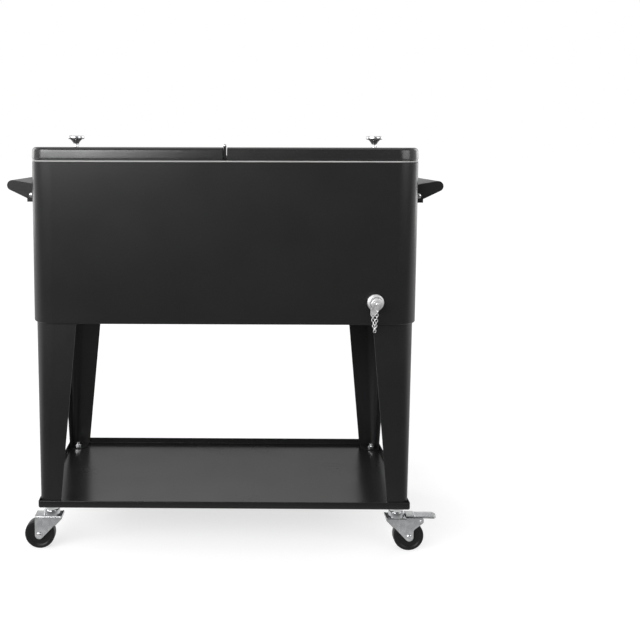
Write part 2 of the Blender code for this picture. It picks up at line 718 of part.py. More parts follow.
def make_handle(side, hand, cart):
    """A pressed handle with two cheeks and a curled grip, bolted to a bracket on the end wall."""
    wall_x = BODY_LENGTH / 2 + CLEAR
    tip_z = BODY_TOP_Z - HANDLE_BELOW_TOP
    centre = (wall_x + HANDLE_REACH - HANDLE_TIP_RADIUS, tip_z)
    gap = BRACKET_WALL + CLEAR
    root_top = (wall_x + gap, tip_z + HANDLE_ROOT_RISE)
    root_low = (wall_x + gap, tip_z - HANDLE_ROOT_DROP)
    cheek = handle_outline(centre, root_top, root_low)
    half = HANDLE_LENGTH / 2
    grip_radius = HANDLE_TIP_RADIUS - HANDLE_WALL / 2
    inner_top = (root_top[0], root_top[1] - HANDLE_WALL / 2)
    start = touch(inner_top, centre, grip_radius, -1)
    path = [inner_top, *arc(centre, grip_radius, start, start - HANDLE_CURL, TIP_STEPS)]
    handle = extruded("handle", strip(path, HANDLE_WALL), -half + LAP, half - LAP)
    for end in (-1, 1):
        first, last = sorted((end * half, end * (half - HANDLE_WALL)))
        join(handle, extruded("cheek", cheek, first, last))

    ear_y = half - HANDLE_WALL - CLEAR - BRACKET_WALL / 2
    back_x = wall_x + BRACKET_WALL / 2
    ear_x = wall_x + BRACKET_REACH
    run = [(ear_x, -ear_y), (back_x, -ear_y), (back_x, ear_y), (ear_x, ear_y)]
    bolt_z = tip_z - HANDLE_BOLT_DROP
    low = bolt_z - BRACKET_HEIGHT / 2
    bracket = extruded("bracket", strip(run, BRACKET_WALL), low, low + BRACKET_HEIGHT, "Z")
    bolt_x = wall_x + HANDLE_BOLT_OUT
    hole = HANDLE_BOLT_RADIUS + CLEAR
    reach = half + CUT_OVERRUN
    for piece in (handle, bracket):
        cut(piece, drum("bolt_hole", hole, -reach, reach, "Y", (bolt_x, 0, bolt_z)))
    bolts = []
    for end, place in ((-1, "front"), (1, "rear")):
        inside = half - HANDLE_WALL - CLEAR - BRACKET_WALL - CLEAR
        outside = half + CLEAR
        dome = BOLT_HEAD_HEIGHT / 2
        profile = [(0, inside - BOLT_NUT_HEIGHT), (BOLT_HEAD_RADIUS, inside - BOLT_NUT_HEIGHT),
                   (BOLT_HEAD_RADIUS, inside), (HANDLE_BOLT_RADIUS, inside), (HANDLE_BOLT_RADIUS, outside),
                   (BOLT_HEAD_RADIUS, outside), (BOLT_HEAD_RADIUS * math.cos(math.pi / 6), outside + dome),
                   (BOLT_HEAD_RADIUS / 2, outside + BOLT_HEAD_HEIGHT), (0, outside + BOLT_HEAD_HEIGHT)]
        flipped = [(radius, -end * height) for radius, height in profile]
        bolt = turned("bolt", flipped, KNUCKLE_STEPS, "Y", (bolt_x, 0, bolt_z))
        bolts.append((bolt, f"handle_bolt_{hand}_{place}", STEEL))
    pieces = [(handle, f"handle_{hand}", BLACK_COAT), (bracket, f"handle_bracket_{hand}", BLACK_COAT), *bolts]
    for piece, name, look in pieces:
        if side < 0:
            mirror(piece, "X")
        hold(cart, finish(piece, name, look))


def mirror(obj, axes):
    """Turns a piece into its mirror image across the cart's middle planes."""
    for axis in axes:
        flip = Matrix.Scale(-1, 4, Vector((1, 0, 0)) if axis == "X" else Vector((0, 1, 0)))
        obj.data.transform(flip)
        obj.data.flip_normals()
    return obj


def leg_section(half_x, half_y, width, radius, z):
    """The L section of a leg with its round outer corner, at the right-hand front."""
    wall = LEG_WALL
    corner = (half_x - radius, radius - half_y)
    outer = arc(corner, radius, -math.pi / 2, 0, CORNER_STEPS)
    inner = arc(corner, radius - wall, 0, -math.pi / 2, CORNER_STEPS)
    ring = [(half_x - width, -half_y), *outer, (half_x, width - half_y),
            (half_x - wall, width - half_y), *inner, (half_x - width, wall - half_y)]
    return [(x, y, z) for x, y in ring]


def leg_plate(half_x, half_y, width, radius, low, high):
    """A flat plate that fills the corner of a leg, lapped into its wall."""
    lap = LEG_WALL / 2
    far_x = half_x - lap
    far_y = half_y - lap
    side = width * LEG_PLATE_SHARE
    chamfer = side * LEG_PLATE_CHAMFER_SHARE
    round_corner = arc((half_x - radius, radius - half_y), radius - lap, -math.pi / 2, 0, CORNER_STEPS)
    outline = [(half_x - side, -far_y), *round_corner, (far_x, side - half_y),
               (half_x - side + chamfer, side - half_y), (half_x - side, side - half_y - chamfer)]
    return extruded("plate", outline, low, high, "Z")


def make_legs(cart):
    """Four tapered legs of bent sheet, each with a foot plate on the shelf and a head plate."""
    top_x = BODY_LENGTH / 2 - LEG_TOP_INSET
    top_y = BODY_DEPTH / 2 - LEG_TOP_INSET
    top_radius = CORNER_RADIUS - LEG_TOP_INSET
    foot_x = SHELF_LENGTH / 2 - SHELF_HEM_WIDTH - LEG_SHELF_GAP / 2
    foot_y = SHELF_DEPTH / 2 - SHELF_HEM_WIDTH - LEG_SHELF_GAP / 2
    foot_radius = LEG_FOOT_RADIUS
    leg = lofted("leg", [
        leg_section(foot_x, foot_y, LEG_FOOT_WIDTH, foot_radius, LEG_FOOT_Z),
        leg_section(top_x, top_y, LEG_TOP_WIDTH, top_radius, LEG_TOP_Z),
    ])
    head_z = LEG_TOP_Z - LEG_PLATE
    join(leg, leg_plate(foot_x, foot_y, LEG_FOOT_WIDTH, foot_radius, LEG_FOOT_Z, LEG_FOOT_Z + LEG_PLATE))
    join(leg, leg_plate(top_x, top_y, LEG_TOP_WIDTH, top_radius, head_z, LEG_TOP_Z))
    hole = STUD_RADIUS + CLEAR
    cut(leg, drum("stud_hole", hole, LEG_FOOT_Z - CUT_OVERRUN, LEG_FOOT_Z + LEG_PLATE + CUT_OVERRUN, "Z",
                  (swivel_x(1), swivel_y(-1), 0)))
    for end, side, name in corners():
        axes = ("X" if side < 0 else "") + ("Y" if end > 0 else "")
        piece = copy_of(leg, f"leg_{name}", BLACK_COAT)
        hold(cart, mirror(piece, axes))
    bpy.data.objects.remove(leg)


def corners():
    """End (-1 front, 1 rear), side (-1 left, 1 right) and name of the cart's four corners."""
    return [(end, side, f"{place}_{hand}")
            for end, place in ((-1, "front"), (1, "rear"))
            for side, hand in ((-1, "left"), (1, "right"))]


def swivel_x(side):
    return side * (SHELF_LENGTH / 2 - SWIVEL_INSET_X)


def swivel_y(end):
    return end * (SHELF_DEPTH / 2 - SWIVEL_INSET_Y)


def shelf_ring(inset, z):
    return plan(SHELF_LENGTH / 2 - inset, SHELF_DEPTH / 2 - inset, SHELF_CORNER_RADIUS - inset, z)


def make_shelf(cart):
    """The shelf: a shallow tray with a folded rim, pierced for the four studs."""
    foot = CASTER_HEIGHT
    fillet = SHELF_FOOT_FILLET
    top = foot + SHELF_RIM_HEIGHT
    hem = SHELF_HEM_WIDTH
    soft = SHELF_SHEET / 2
    shelf = lofted("shelf", [
        shelf_ring(fillet, foot),
        shelf_ring(0, foot + fillet),
        shelf_ring(0, top - soft),
        shelf_ring(soft, top),
        shelf_ring(hem, top),
        shelf_ring(hem, top - SHELF_HEM_DEPTH),
        shelf_ring(SHELF_SHEET, top - SHELF_HEM_DEPTH),
        shelf_ring(SHELF_SHEET, foot + fillet),
        shelf_ring(fillet, SHELF_TOP),
    ])
    hole = STUD_RADIUS + CLEAR
    for end, side, _ in corners():
        cut(shelf, drum("stud_hole", hole, foot - CUT_OVERRUN, SHELF_TOP + CUT_OVERRUN, "Z",
                        (swivel_x(side), swivel_y(end), 0)))
    hold(cart, finish(shelf, "shelf_tray", BLACK_COAT))


def caster_base():
    """Top plate with its stud, upper race and king pin, measured down from the shelf's underside."""
    plate_low = -CLEAR - PLATE_THICKNESS
    race_low = plate_low - RACE_HEIGHT
    crown_low = race_low - RUNNING_GAP - DISH_HEIGHT - FORK_CROWN_THICKNESS
    head_top = crown_low - RUNNING_GAP
    head_low = head_top - KING_PIN_HEAD_HEIGHT
    in_plate = plate_low + PLATE_THICKNESS / 2
    profile = [(0, STUD_HEIGHT), (STUD_RADIUS - LAP, STUD_HEIGHT), (STUD_RADIUS, STUD_HEIGHT - LAP),
               (STUD_RADIUS, in_plate), (RACE_TOP_RADIUS, in_plate), (RACE_TOP_RADIUS, plate_low),
               (RACE_LOW_RADIUS, race_low), (KING_PIN_RADIUS, race_low), (KING_PIN_RADIUS, head_top),
               (KING_PIN_HEAD_RADIUS, head_top), (KING_PIN_HEAD_RADIUS * 2 / 3, head_low), (0, head_low)]
    half = PLATE_SIDE / 2
    outline = [(x, y) for x, y, _ in plan(half, half, PLATE_CORNER, 0)]
    base = extruded("plate", outline, plate_low, -CLEAR, "Z")
    return join(base, turned("king_pin", profile)), crown_low


def fork_cheek(crown_low, axle_z, brake):
    """The side of a fork as (x, z): a slanted inner edge, a round tip, and an ear if it has a brake."""
    top = crown_low + FORK_CROWN_THICKNESS
    centre = (CASTER_TRAIL, axle_z)
    inner = (-FORK_INNER_REACH, crown_low - FORK_CROWN_THICKNESS)
    start = touch(inner, centre, FORK_TIP_RADIUS, 1)
    outer_x = CASTER_TRAIL + FORK_TIP_RADIUS
    outline = [(-FORK_INNER_REACH, top), inner]
    outline += arc(centre, FORK_TIP_RADIUS, start, math.tau, TIP_STEPS)
    if brake:
        ear_low = top - BRAKE_EAR_DEPTH
        outline.append((outer_x, ear_low - (BRAKE_EAR_REACH - outer_x) / 2))
        outline.append((BRAKE_EAR_REACH, ear_low + BRAKE_EAR_DEPTH / 3))
        outline.append((BRAKE_EAR_REACH, top - PEDAL_WALL))
        outline.append((BRAKE_EAR_REACH - PEDAL_WALL, top))
    else:
        outline.append((outer_x, top))
    return outline


def make_web(cheek, top, outer):
    """The sheet that folds down from the crown and closes the slanted side between the cheeks."""
    inner = Vector(cheek[1])
    slant = (Vector(cheek[2]) - inner).normalized()
    away = Vector((slant.y, -slant.x)) * FORK_WALL
    end_x = inner.x - FORK_WALL
    corner = inner + away
    corner += slant * ((end_x - corner.x) / slant.x)
    tip = inner + slant * FORK_WEB_LENGTH
    start = (inner.x + FORK_WALL / 2, top)
    outline = [start, (end_x, top), tuple(corner), tuple(tip + away), tuple(tip - away / 2),
               (start[0], inner.y - FORK_WALL / 2)]
    return extruded("web", outline, -outer, outer)


def make_rib(cheek, top, place, start, stop):
    """A raised rib pressed into a cheek, from the crown down to near the slanted edge."""
    inner, touching = cheek[1], cheek[2]
    slope = (touching[1] - inner[1]) / (touching[0] - inner[0])
    near = place - FORK_RIB_WIDTH / 2
    far = place + FORK_RIB_WIDTH / 2
    low = inner[1] + slope * (near - inner[0]) + FORK_RIB_MARGIN
    outline = [(near, low), (far, low + slope * FORK_RIB_WIDTH), (far, top), (near, top)]
    return extruded("rib", outline, start, stop)


def make_fork(crown_low, brake):
    """A pressed fork: crown with the lower race, and two ribbed cheeks down to the axle."""
    axle_z = WHEEL_RADIUS - CASTER_HEIGHT
    half_gap = FORK_GAP / 2
    outer = half_gap + FORK_WALL
    top = crown_low + FORK_CROWN_THICKNESS
    end_x = PEDAL_START_X - CLEAR if brake else CASTER_TRAIL + FORK_TIP_RADIUS
    crown = [(-FORK_INNER_REACH, -outer), (end_x, -outer), (end_x, outer), (-FORK_INNER_REACH, outer)]
    fork = extruded("crown", crown, crown_low, top, "Z")
    cheek = fork_cheek(crown_low, axle_z, brake)
    join(fork, make_web(cheek, top, outer))
    for side in (-1, 1):
        start, stop = sorted((side * half_gap, side * outer))
        join(fork, extruded("cheek", cheek, start, stop))
        start, stop = sorted((side * (outer - LAP), side * (outer + FORK_RIB_HEIGHT)))
        for place in FORK_RIB_PLACES:
            join(fork, make_rib(cheek, crown_low, place, start, stop))
    dish_top = top + DISH_HEIGHT
    dish = [(0, top - LAP), (RACE_TOP_RADIUS, top - LAP), (RACE_TOP_RADIUS, top), (RACE_LOW_RADIUS, dish_top),
            (0, dish_top)]
    join(fork, turned("dish", dish))
    pin_bore = KING_PIN_RADIUS + CLEAR
    cut(fork, drum("pin_bore", pin_bore, crown_low - CUT_OVERRUN, dish_top + CUT_OVERRUN, "Z", (0, 0, 0)))
    reach = outer + CUT_OVERRUN
    cut(fork, drum("axle_hole", AXLE_RADIUS + CLEAR, -reach, reach, "Y", (CASTER_TRAIL, 0, axle_z)))
    if brake:
        pivot_z = top - PEDAL_PIVOT_DROP
        pivot = (PEDAL_PIVOT_X, 0, pivot_z)
        cut(fork, drum("pivot_hole", PEDAL_PIN_RADIUS + CLEAR, -reach, reach, "Y", pivot, KNUCKLE_STEPS))
    return fork


def make_wheel():
    """A moulded wheel about its own centre: round-edged tread, recessed faces and a hub."""
    half = WHEEL_WIDTH / 2
    edge = WHEEL_EDGE_RADIUS
    bore = AXLE_RADIUS + CLEAR
    face = half - WHEEL_FACE_RECESS
    hub = HUB_WIDTH / 2
    side = [(bore, hub), (HUB_RADIUS, hub), (HUB_RADIUS + WHEEL_FACE_RECESS, face),
            (WHEEL_RIM_RADIUS, face), (WHEEL_RIM_RADIUS + WHEEL_FACE_RECESS, half)]
    side += arc((WHEEL_RADIUS - edge, half - edge), edge, math.pi / 2, 0, EDGE_STEPS)
    profile = side + [(radius, -height) for radius, height in reversed(side)]
    return turned("wheel", profile, WHEEL_STEPS, "Y")


def make_axle():
    """A riveted axle about its own centre, with a round head outside each cheek."""
    seat = FORK_GAP / 2 + FORK_WALL + CLEAR
    end = seat + AXLE_HEAD_HEIGHT
    side = [(0, end), (AXLE_HEAD_RADIUS / 2, end), (AXLE_HEAD_RADIUS, seat + AXLE_HEAD_HEIGHT / 3),
            (AXLE_HEAD_RADIUS, seat), (AXLE_RADIUS, seat)]
    profile = side + [(radius, -height) for radius, height in reversed(side)]
    return turned("axle", profile, TURNED_STEPS, "Y")


def make_pedal():
    """A pressed brake pedal about its pivot: tread plate, two side lips, cross pin and brake shoe."""
    half = PEDAL_WIDTH / 2
    wall = PEDAL_WALL
    plate_low = PEDAL_PIVOT_DROP + PEDAL_LIFT
    plate_top = plate_low + wall
    start = PEDAL_START_X - PEDAL_PIVOT_X
    end = PEDAL_END_X - PEDAL_PIVOT_X
    nose = plate_low - PEDAL_LIP
    step_start = PEDAL_STEP_START_X - PEDAL_PIVOT_X
    step_end = PEDAL_STEP_END_X - PEDAL_PIVOT_X
    raised_low = plate_low + PEDAL_STEP
    tread = [(start, raised_low), (step_start, raised_low), (step_end, plate_low), (end - wall, plate_low),
             (end - wall, nose), (end, nose), (end, plate_top), (step_end, plate_top),
             (step_start, raised_low + wall), (start, raised_low + wall)]
    pedal = extruded("tread", tread, -half, half)
    boss = PEDAL_BOSS_RADIUS
    lip = [(boss, plate_top - wall / 2), (-boss, plate_top - wall / 2)]
    lip += arc((0, 0), boss, math.pi, math.tau, TIP_STEPS)
    lapped = plate_low + wall / 2
    long_lip = [(start, lapped + PEDAL_STEP), (start, nose + PEDAL_LIP / 2), (end, nose), (end, lapped),
                (step_end, lapped), (step_start, lapped + PEDAL_STEP)]
    for side in (-1, 1):
        first, last = sorted((side * (half - wall), side * half))
        join(pedal, extruded("boss", lip, first, last), extruded("lip", long_lip, first, last))
    for side in (-1, 1):
        corner = [(end - PEDAL_CORNER_CUT, side * (half + wall)), (end + wall, side * (half - PEDAL_CORNER_CUT)),
                  (end + wall, side * (half + wall))]
        cut(pedal, extruded("corner", corner, nose - CUT_OVERRUN, plate_top + CUT_OVERRUN, "Z"))
    eye = (end - PEDAL_EYE_INSET, 0, 0)
    cut(pedal, drum("eye", PEDAL_EYE_RADIUS, nose - CUT_OVERRUN, plate_top + CUT_OVERRUN, "Z", eye, KNUCKLE_STEPS))
    pin_half = FORK_GAP / 2 + FORK_WALL
    join(pedal, drum("cross_pin", PEDAL_PIN_RADIUS, -pin_half, pin_half, "Y", (0, 0, 0), KNUCKLE_STEPS))
    wheel = Vector((CASTER_TRAIL - PEDAL_PIVOT_X, WHEEL_RADIUS - CASTER_HEIGHT - pedal_pivot_z()))
    lean = math.atan2(wheel.y, wheel.x) + PEDAL_FREE_GAP / SHOE_THICKNESS / 2
    length = wheel.length - WHEEL_RADIUS - PEDAL_FREE_GAP
    tip = (length * math.cos(lean), length * math.sin(lean))
    shoe_half = SHOE_WIDTH / 2
    shoe = extruded("shoe", strip([(0, 0), tip], SHOE_THICKNESS), -shoe_half, shoe_half)
    return join(pedal, shoe)


def pedal_pivot_z():
    """Height of the pedal's pivot, measured up from the shelf's underside, so below zero."""
    race_low = -CLEAR - PLATE_THICKNESS - RACE_HEIGHT
    return race_low - RUNNING_GAP - DISH_HEIGHT - PEDAL_PIVOT_DROP


def make_nut():
    """A hexagonal nut over the stud, above the leg's foot plate."""
    foot = SHELF_SHEET + CLEAR + LEG_PLATE + CLEAR
    bore = STUD_RADIUS + CLEAR
    top = foot + NUT_HEIGHT
    nut = turned("nut", [(0, foot), (NUT_RADIUS, foot), (NUT_RADIUS, top), (0, top)], HEX_SIDES)
    return cut(nut, drum("bore", bore, foot - CUT_OVERRUN, top + CUT_OVERRUN, "Z", (0, 0, 0), KNUCKLE_STEPS))


def make_casters(cart):
    """Four swivel casters that trail outwards; the right-hand ones have a brake pedal."""
    base, crown_low = caster_base()
    plain_fork = make_fork(crown_low, False)
    brake_fork = make_fork(crown_low, True)
    wheel = make_wheel()
    axle = make_axle()
    pedal = make_pedal()
    nut = make_nut()
    axle_place = (CASTER_TRAIL, 0, WHEEL_RADIUS - CASTER_HEIGHT)
    for end, side, name in corners():
        place = (swivel_x(side), swivel_y(end), CASTER_HEIGHT)
        mount = empty(f"caster_mount_{name}", place, cart)
        swivel = empty(f"caster_swivel_{name}", place, cart, 0.0 if side > 0 else math.pi)
        spin = empty(f"wheel_spin_{name}", axle_place, swivel)
        fork = brake_fork if side > 0 else plain_fork
        carry(mount, copy_of(base, f"caster_plate_{name}", BRIGHT_ZINC))
        carry(mount, copy_of(nut, f"caster_nut_{name}", BRIGHT_ZINC))
        carry(swivel, copy_of(fork, f"caster_fork_{name}", BRIGHT_ZINC))
        axle_copy = copy_of(axle, f"caster_axle_{name}", STEEL)
        axle_copy.location = axle_place
        carry(swivel, axle_copy)
        carry(spin, copy_of(wheel, f"caster_wheel_{name}", BLACK_RUBBER))
        if side > 0:
            pivot = empty(f"pedal_pivot_{name}", (PEDAL_PIVOT_X, 0, pedal_pivot_z()), swivel)
            carry(pivot, copy_of(pedal, f"brake_pedal_{name}", BRIGHT_ZINC))
    for pattern in (base, plain_fork, brake_fork, wheel, axle, pedal, nut):
        bpy.data.objects.remove(pattern)


def eye_drop(drop, ear_radius):
    """How far below the drain's axis the eye of an ear lies."""
    return drop + ear_radius - EYE_MARGIN - EYE_RADIUS


def eared_disc(name, radius, drop, ear_radius, hole, start, end):
    """A flat disc with an ear hanging from it, an eye in the ear and a hole in its middle."""
    low = (0, -drop)
    outline = arc((0, 0), radius, -math.pi / 4, math.pi * 5 / 4, DISC_STEPS)
    outline += arc(low, ear_radius, math.pi, math.tau, TIP_STEPS)
    outline = [(x + DRAIN_X, z + DRAIN_Z) for x, z in outline]
    front = -BODY_DEPTH / 2
    disc = extruded(name, outline, front - end, front - start)
    cut(disc, drain_drum("hole", hole, start - CUT_OVERRUN, end + CUT_OVERRUN))
    eye = (DRAIN_X, front, DRAIN_Z - eye_drop(drop, ear_radius))
    cut(disc, drum("eye", EYE_RADIUS, start - CUT_OVERRUN, end + CUT_OVERRUN, "Y", eye, KNUCKLE_STEPS))
    return disc


def fluted(radius, depth, count, y):
    """A ring of flutes on the drain's axis."""
    ring = []
    for i in range(2 * count):
        reach = radius - depth * (i % 2)
        a = math.tau * i / (2 * count)
        ring.append((DRAIN_X + reach * math.sin(a), y, DRAIN_Z + reach * math.cos(a)))
    return ring


def make_drain(cart, plug_frame, cap_frame):
    """The drain: a flanged tube with its nut inside, and a fluted cap that a chain keeps on a strap."""
    front = -BODY_DEPTH / 2
    centre = (DRAIN_X, front, DRAIN_Z)
    flange = CLEAR + DRAIN_FLANGE_HEIGHT
    strap_start = flange + CLEAR
    strap_end = strap_start + STRAP_THICKNESS
    cap_start = strap_end + CLEAR
    cap_end = cap_start + CAP_LENGTH
    cup_end = cap_end - CAP_FACE
    neck_end = cup_end - RUNNING_GAP
    inside = -LINER_INSET - CLEAR
    tail = inside - DRAIN_NUT_HEIGHT - DRAIN_TAIL
    bore = DRAIN_BORE_RADIUS
    profile = [(bore, tail), (DRAIN_TUBE_RADIUS, tail), (DRAIN_TUBE_RADIUS, CLEAR),
               (DRAIN_FLANGE_RADIUS, CLEAR), (DRAIN_FLANGE_RADIUS, CLEAR + DRAIN_FLANGE_HEIGHT / 3),
               (DRAIN_FLANGE_RADIUS * 5 / 6, CLEAR + DRAIN_FLANGE_HEIGHT * 5 / 6),
               (DRAIN_FLANGE_RADIUS * 2 / 3, flange), (DRAIN_NECK_RADIUS, flange),
               (DRAIN_NECK_RADIUS, neck_end), (bore, neck_end)]
    body = turned("drain_body", profile, WHEEL_STEPS, "Y", centre)
    nut_start = inside - DRAIN_NUT_HEIGHT
    nut = drain_drum("drain_nut", DRAIN_NUT_RADIUS, nut_start, inside, HEX_SIDES)
    cut(nut, drain_drum("bore", DRAIN_TUBE_RADIUS + CLEAR, nut_start - CUT_OVERRUN, inside + CUT_OVERRUN))

    strap = eared_disc("strap", STRAP_RADIUS, STRAP_EAR_DROP, STRAP_EAR_RADIUS, DRAIN_NECK_RADIUS + CLEAR,
                       strap_start, strap_end)
    about = Matrix.Translation(centre)
    strap.data.transform(about @ Matrix.Rotation(STRAP_TURN, 4, "Y") @ about.inverted())

    edge = CAP_FLUTE_DEPTH
    cup = DRAIN_NECK_RADIUS + CLEAR
    cap = lofted("cap", [
        fluted(CAP_RADIUS - edge, 0, CAP_FLUTES, front - cap_start),
        fluted(CAP_RADIUS, CAP_FLUTE_DEPTH, CAP_FLUTES, front - cap_start - edge),
        fluted(CAP_RADIUS, CAP_FLUTE_DEPTH, CAP_FLUTES, front - cap_end + 2 * edge),
        fluted(CAP_RADIUS - 2 * edge, 0, CAP_FLUTES, front - cap_end),
    ])
    cut(cap, drain_drum("cup", cup, cap_start - CUT_OVERRUN, cup_end))
    rivet_hole = RIVET_RADIUS + CLEAR
    cut(cap, drain_drum("rivet_hole", rivet_hole, cap_start, cap_end + CUT_OVERRUN, KNUCKLE_STEPS))

    tab_start = cap_end + CLEAR
    tab_end = tab_start + TAB_THICKNESS
    tab = eared_disc("tab", TAB_RADIUS, TAB_EAR_DROP, TAB_EAR_RADIUS, rivet_hole, tab_start, tab_end)
    head = tab_end + CLEAR
    tail_top = cup_end - CLEAR
    tail_low = tail_top - RIVET_TAIL_HEIGHT
    rivet_profile = [(0, tail_low), (RIVET_TAIL_RADIUS, tail_low), (RIVET_TAIL_RADIUS, tail_top),
                     (RIVET_RADIUS, tail_top), (RIVET_RADIUS, head), (RIVET_HEAD_RADIUS, head),
                     (RIVET_HEAD_RADIUS * 2 / 3, head + RIVET_HEAD_HEIGHT * 3 / 4),
                     (0, head + RIVET_HEAD_HEIGHT)]
    rivet = turned("rivet", rivet_profile, KNUCKLE_STEPS, "Y", centre)

    hold(cart, finish(body, "drain_body", CHROME))
    hold(cart, finish(nut, "drain_nut", LIGHT_PLASTIC))
    hold(cart, finish(strap, "drain_strap", CHROME))
    hold(cap_frame, finish(cap, "drain_cap", CHROME))
    hold(plug_frame, finish(tab, "drain_tab", CHROME))
    hold(plug_frame, finish(rivet, "drain_rivet", CHROME))
    strap_drop = eye_drop(STRAP_EAR_DROP, STRAP_EAR_RADIUS)
    tab_drop = eye_drop(TAB_EAR_DROP, TAB_EAR_RADIUS)
    first = Vector((DRAIN_X - strap_drop * math.sin(STRAP_TURN), front - (strap_start + strap_end) / 2,
                    DRAIN_Z - strap_drop * math.cos(STRAP_TURN)))
    last = Vector((DRAIN_X, front - (tab_start + tab_end) / 2, DRAIN_Z - tab_drop))
    hold(cart, finish(make_chain(first, last), "drain_chain", CHROME))


def chain_route(share, start, end, low_z):
    """A point on the hanging chain: down from the start, round the bottom and up to the end."""
    across = (1 - math.cos(math.pi * share)) / 2
    depth_start = start.z - low_z
    depth_end = end.z - low_z
    hang = abs(math.cos(math.pi * share)) ** CHAIN_HANG_POWER
    point = start.lerp(end, across)
    point.z = low_z + (depth_start if share < 0.5 else depth_end) * hang
    return point


def make_chain(first_eye, last_eye):
    """Links from eye to eye, each turned a quarter from the last and lapped into one solid."""
    half = LINK_WIDTH / 2 - LINK_WIRE_RADIUS
    reach = LINK_LENGTH / 2 - LINK_WIRE_RADIUS
    low_z = DRAIN_Z - CHAIN_DROP + LINK_LENGTH / 2
    start = first_eye - Vector((0, 0, reach))
    end = last_eye - Vector((0, 0, reach))
    steps = CHAIN_ROUTE_STEPS
    route = [chain_route(i / steps, start, end, low_z) for i in range(steps + 1)]
    lengths = [0.0]
    for a, b in zip(route, route[1:]):
        lengths.append(lengths[-1] + (b - a).length)
    pitch = 2 * (reach - LINK_WIRE_RADIUS) + LINK_LAP
    gaps = 2 * max(1, math.floor(lengths[-1] / pitch / 2))
    side = Vector((1, 0, 0))
    chain = None
    for i in range(gaps + 1):
        at = lengths[-1] * i / gaps
        k = min(range(len(lengths)), key=lambda n: abs(lengths[n] - at))
        along = (route[min(k + 1, steps)] - route[max(k - 1, 0)]).normalized()
        flat = along.cross(side).normalized()
        across = flat if i % 2 == 0 else flat.cross(along)
        link = ring_link(route[k], along, across, reach, half)
        chain = link if chain is None else join(chain, link)
    return chain


def ring_link(centre, along, across, reach, half):
    """One link: a round wire bent into an oval that lies along the chain."""
    normal = along.cross(across)
    bm = bmesh.new()
    rows = []
    for i in range(LINK_STEPS):
        a = math.tau * i / LINK_STEPS
        out = along * (math.cos(a) * reach) + across * (math.sin(a) * half)
        aim = out.normalized()
        row = []
        for j in range(WIRE_STEPS):
            b = math.tau * j / WIRE_STEPS
            spoke = aim * math.cos(b) + normal * math.sin(b)
            row.append(bm.verts.new(centre + out + spoke * LINK_WIRE_RADIUS))
        rows.append(row)
    for i, row in enumerate(rows):
        following = rows[(i + 1) % len(rows)]
        for j in range(len(row)):
            k = (j + 1) % len(row)
            bm.faces.new((row[j], row[k], following[k], following[j]))
    return object_from(bm, "link")


def main():
    clear_scene()
    cart = empty("cooler_cart", (0, DRAIN_REACH / 2, 0))
    pivots = {hand: empty(f"lid_pivot_{hand}", (0, 0, HINGE_Z), cart) for hand in ("left", "right")}
    drain_place = (DRAIN_X, -BODY_DEPTH / 2, DRAIN_Z)
    plug_frame = empty("drain_slide", drain_place, cart)
    cap_frame = empty("drain_turn", drain_place, cart)
    make_body(cart)
    for side, hand in ((-1, "left"), (1, "right")):
        plug_z = make_lid(side, hand, pivots[hand])
        make_knob(side, hand, pivots[hand], plug_z)
        make_handle(side, hand, cart)
    make_hinge(cart, pivots)
    make_legs(cart)
    make_shelf(cart)
    make_casters(cart)
    make_drain(cart, plug_frame, cap_frame)


main()
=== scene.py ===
import math

import bmesh
import bpy
from mathutils import Matrix, Vector


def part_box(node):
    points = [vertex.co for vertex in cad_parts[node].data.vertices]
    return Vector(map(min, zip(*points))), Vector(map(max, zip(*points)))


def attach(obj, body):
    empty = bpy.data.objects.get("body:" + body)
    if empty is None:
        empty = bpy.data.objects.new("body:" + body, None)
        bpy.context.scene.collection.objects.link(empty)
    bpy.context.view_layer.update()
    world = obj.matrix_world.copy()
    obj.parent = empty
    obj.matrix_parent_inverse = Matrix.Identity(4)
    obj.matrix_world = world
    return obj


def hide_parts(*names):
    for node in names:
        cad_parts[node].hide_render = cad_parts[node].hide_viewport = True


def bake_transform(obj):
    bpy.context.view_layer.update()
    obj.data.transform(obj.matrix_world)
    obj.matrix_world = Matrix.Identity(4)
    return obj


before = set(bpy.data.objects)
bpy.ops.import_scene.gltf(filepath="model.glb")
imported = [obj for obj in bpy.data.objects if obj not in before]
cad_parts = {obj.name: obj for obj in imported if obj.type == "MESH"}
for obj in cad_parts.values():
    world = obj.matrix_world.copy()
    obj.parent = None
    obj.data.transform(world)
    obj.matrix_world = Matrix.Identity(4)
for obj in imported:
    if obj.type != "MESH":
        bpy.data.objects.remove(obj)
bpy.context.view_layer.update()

# Camera: level with the top of the cart, before its middle and tipped down slightly.
# The shift moves the picture's frame, as a crop of a wider photograph does.
picture_side = 640
focal_pixels = 854.34
sensor_width = 36.0
vanishing_x = 218.55
vanishing_y = 224.98
camera_data = bpy.data.cameras.new("camera")
camera_data.sensor_width = sensor_width
camera_data.lens = sensor_width * focal_pixels / picture_side
camera_data.shift_x = 0.5 - vanishing_x / picture_side
camera_data.shift_y = vanishing_y / picture_side - 0.5
camera_data.clip_start = 0.01
camera = bpy.data.objects.new("camera", camera_data)
camera.location = (0.0032, -1.8204, 0.8144)
camera.rotation_euler = (math.radians(84.804), math.radians(-0.115), math.radians(0.530))
bpy.context.scene.collection.objects.link(camera)
bpy.context.scene.camera = camera

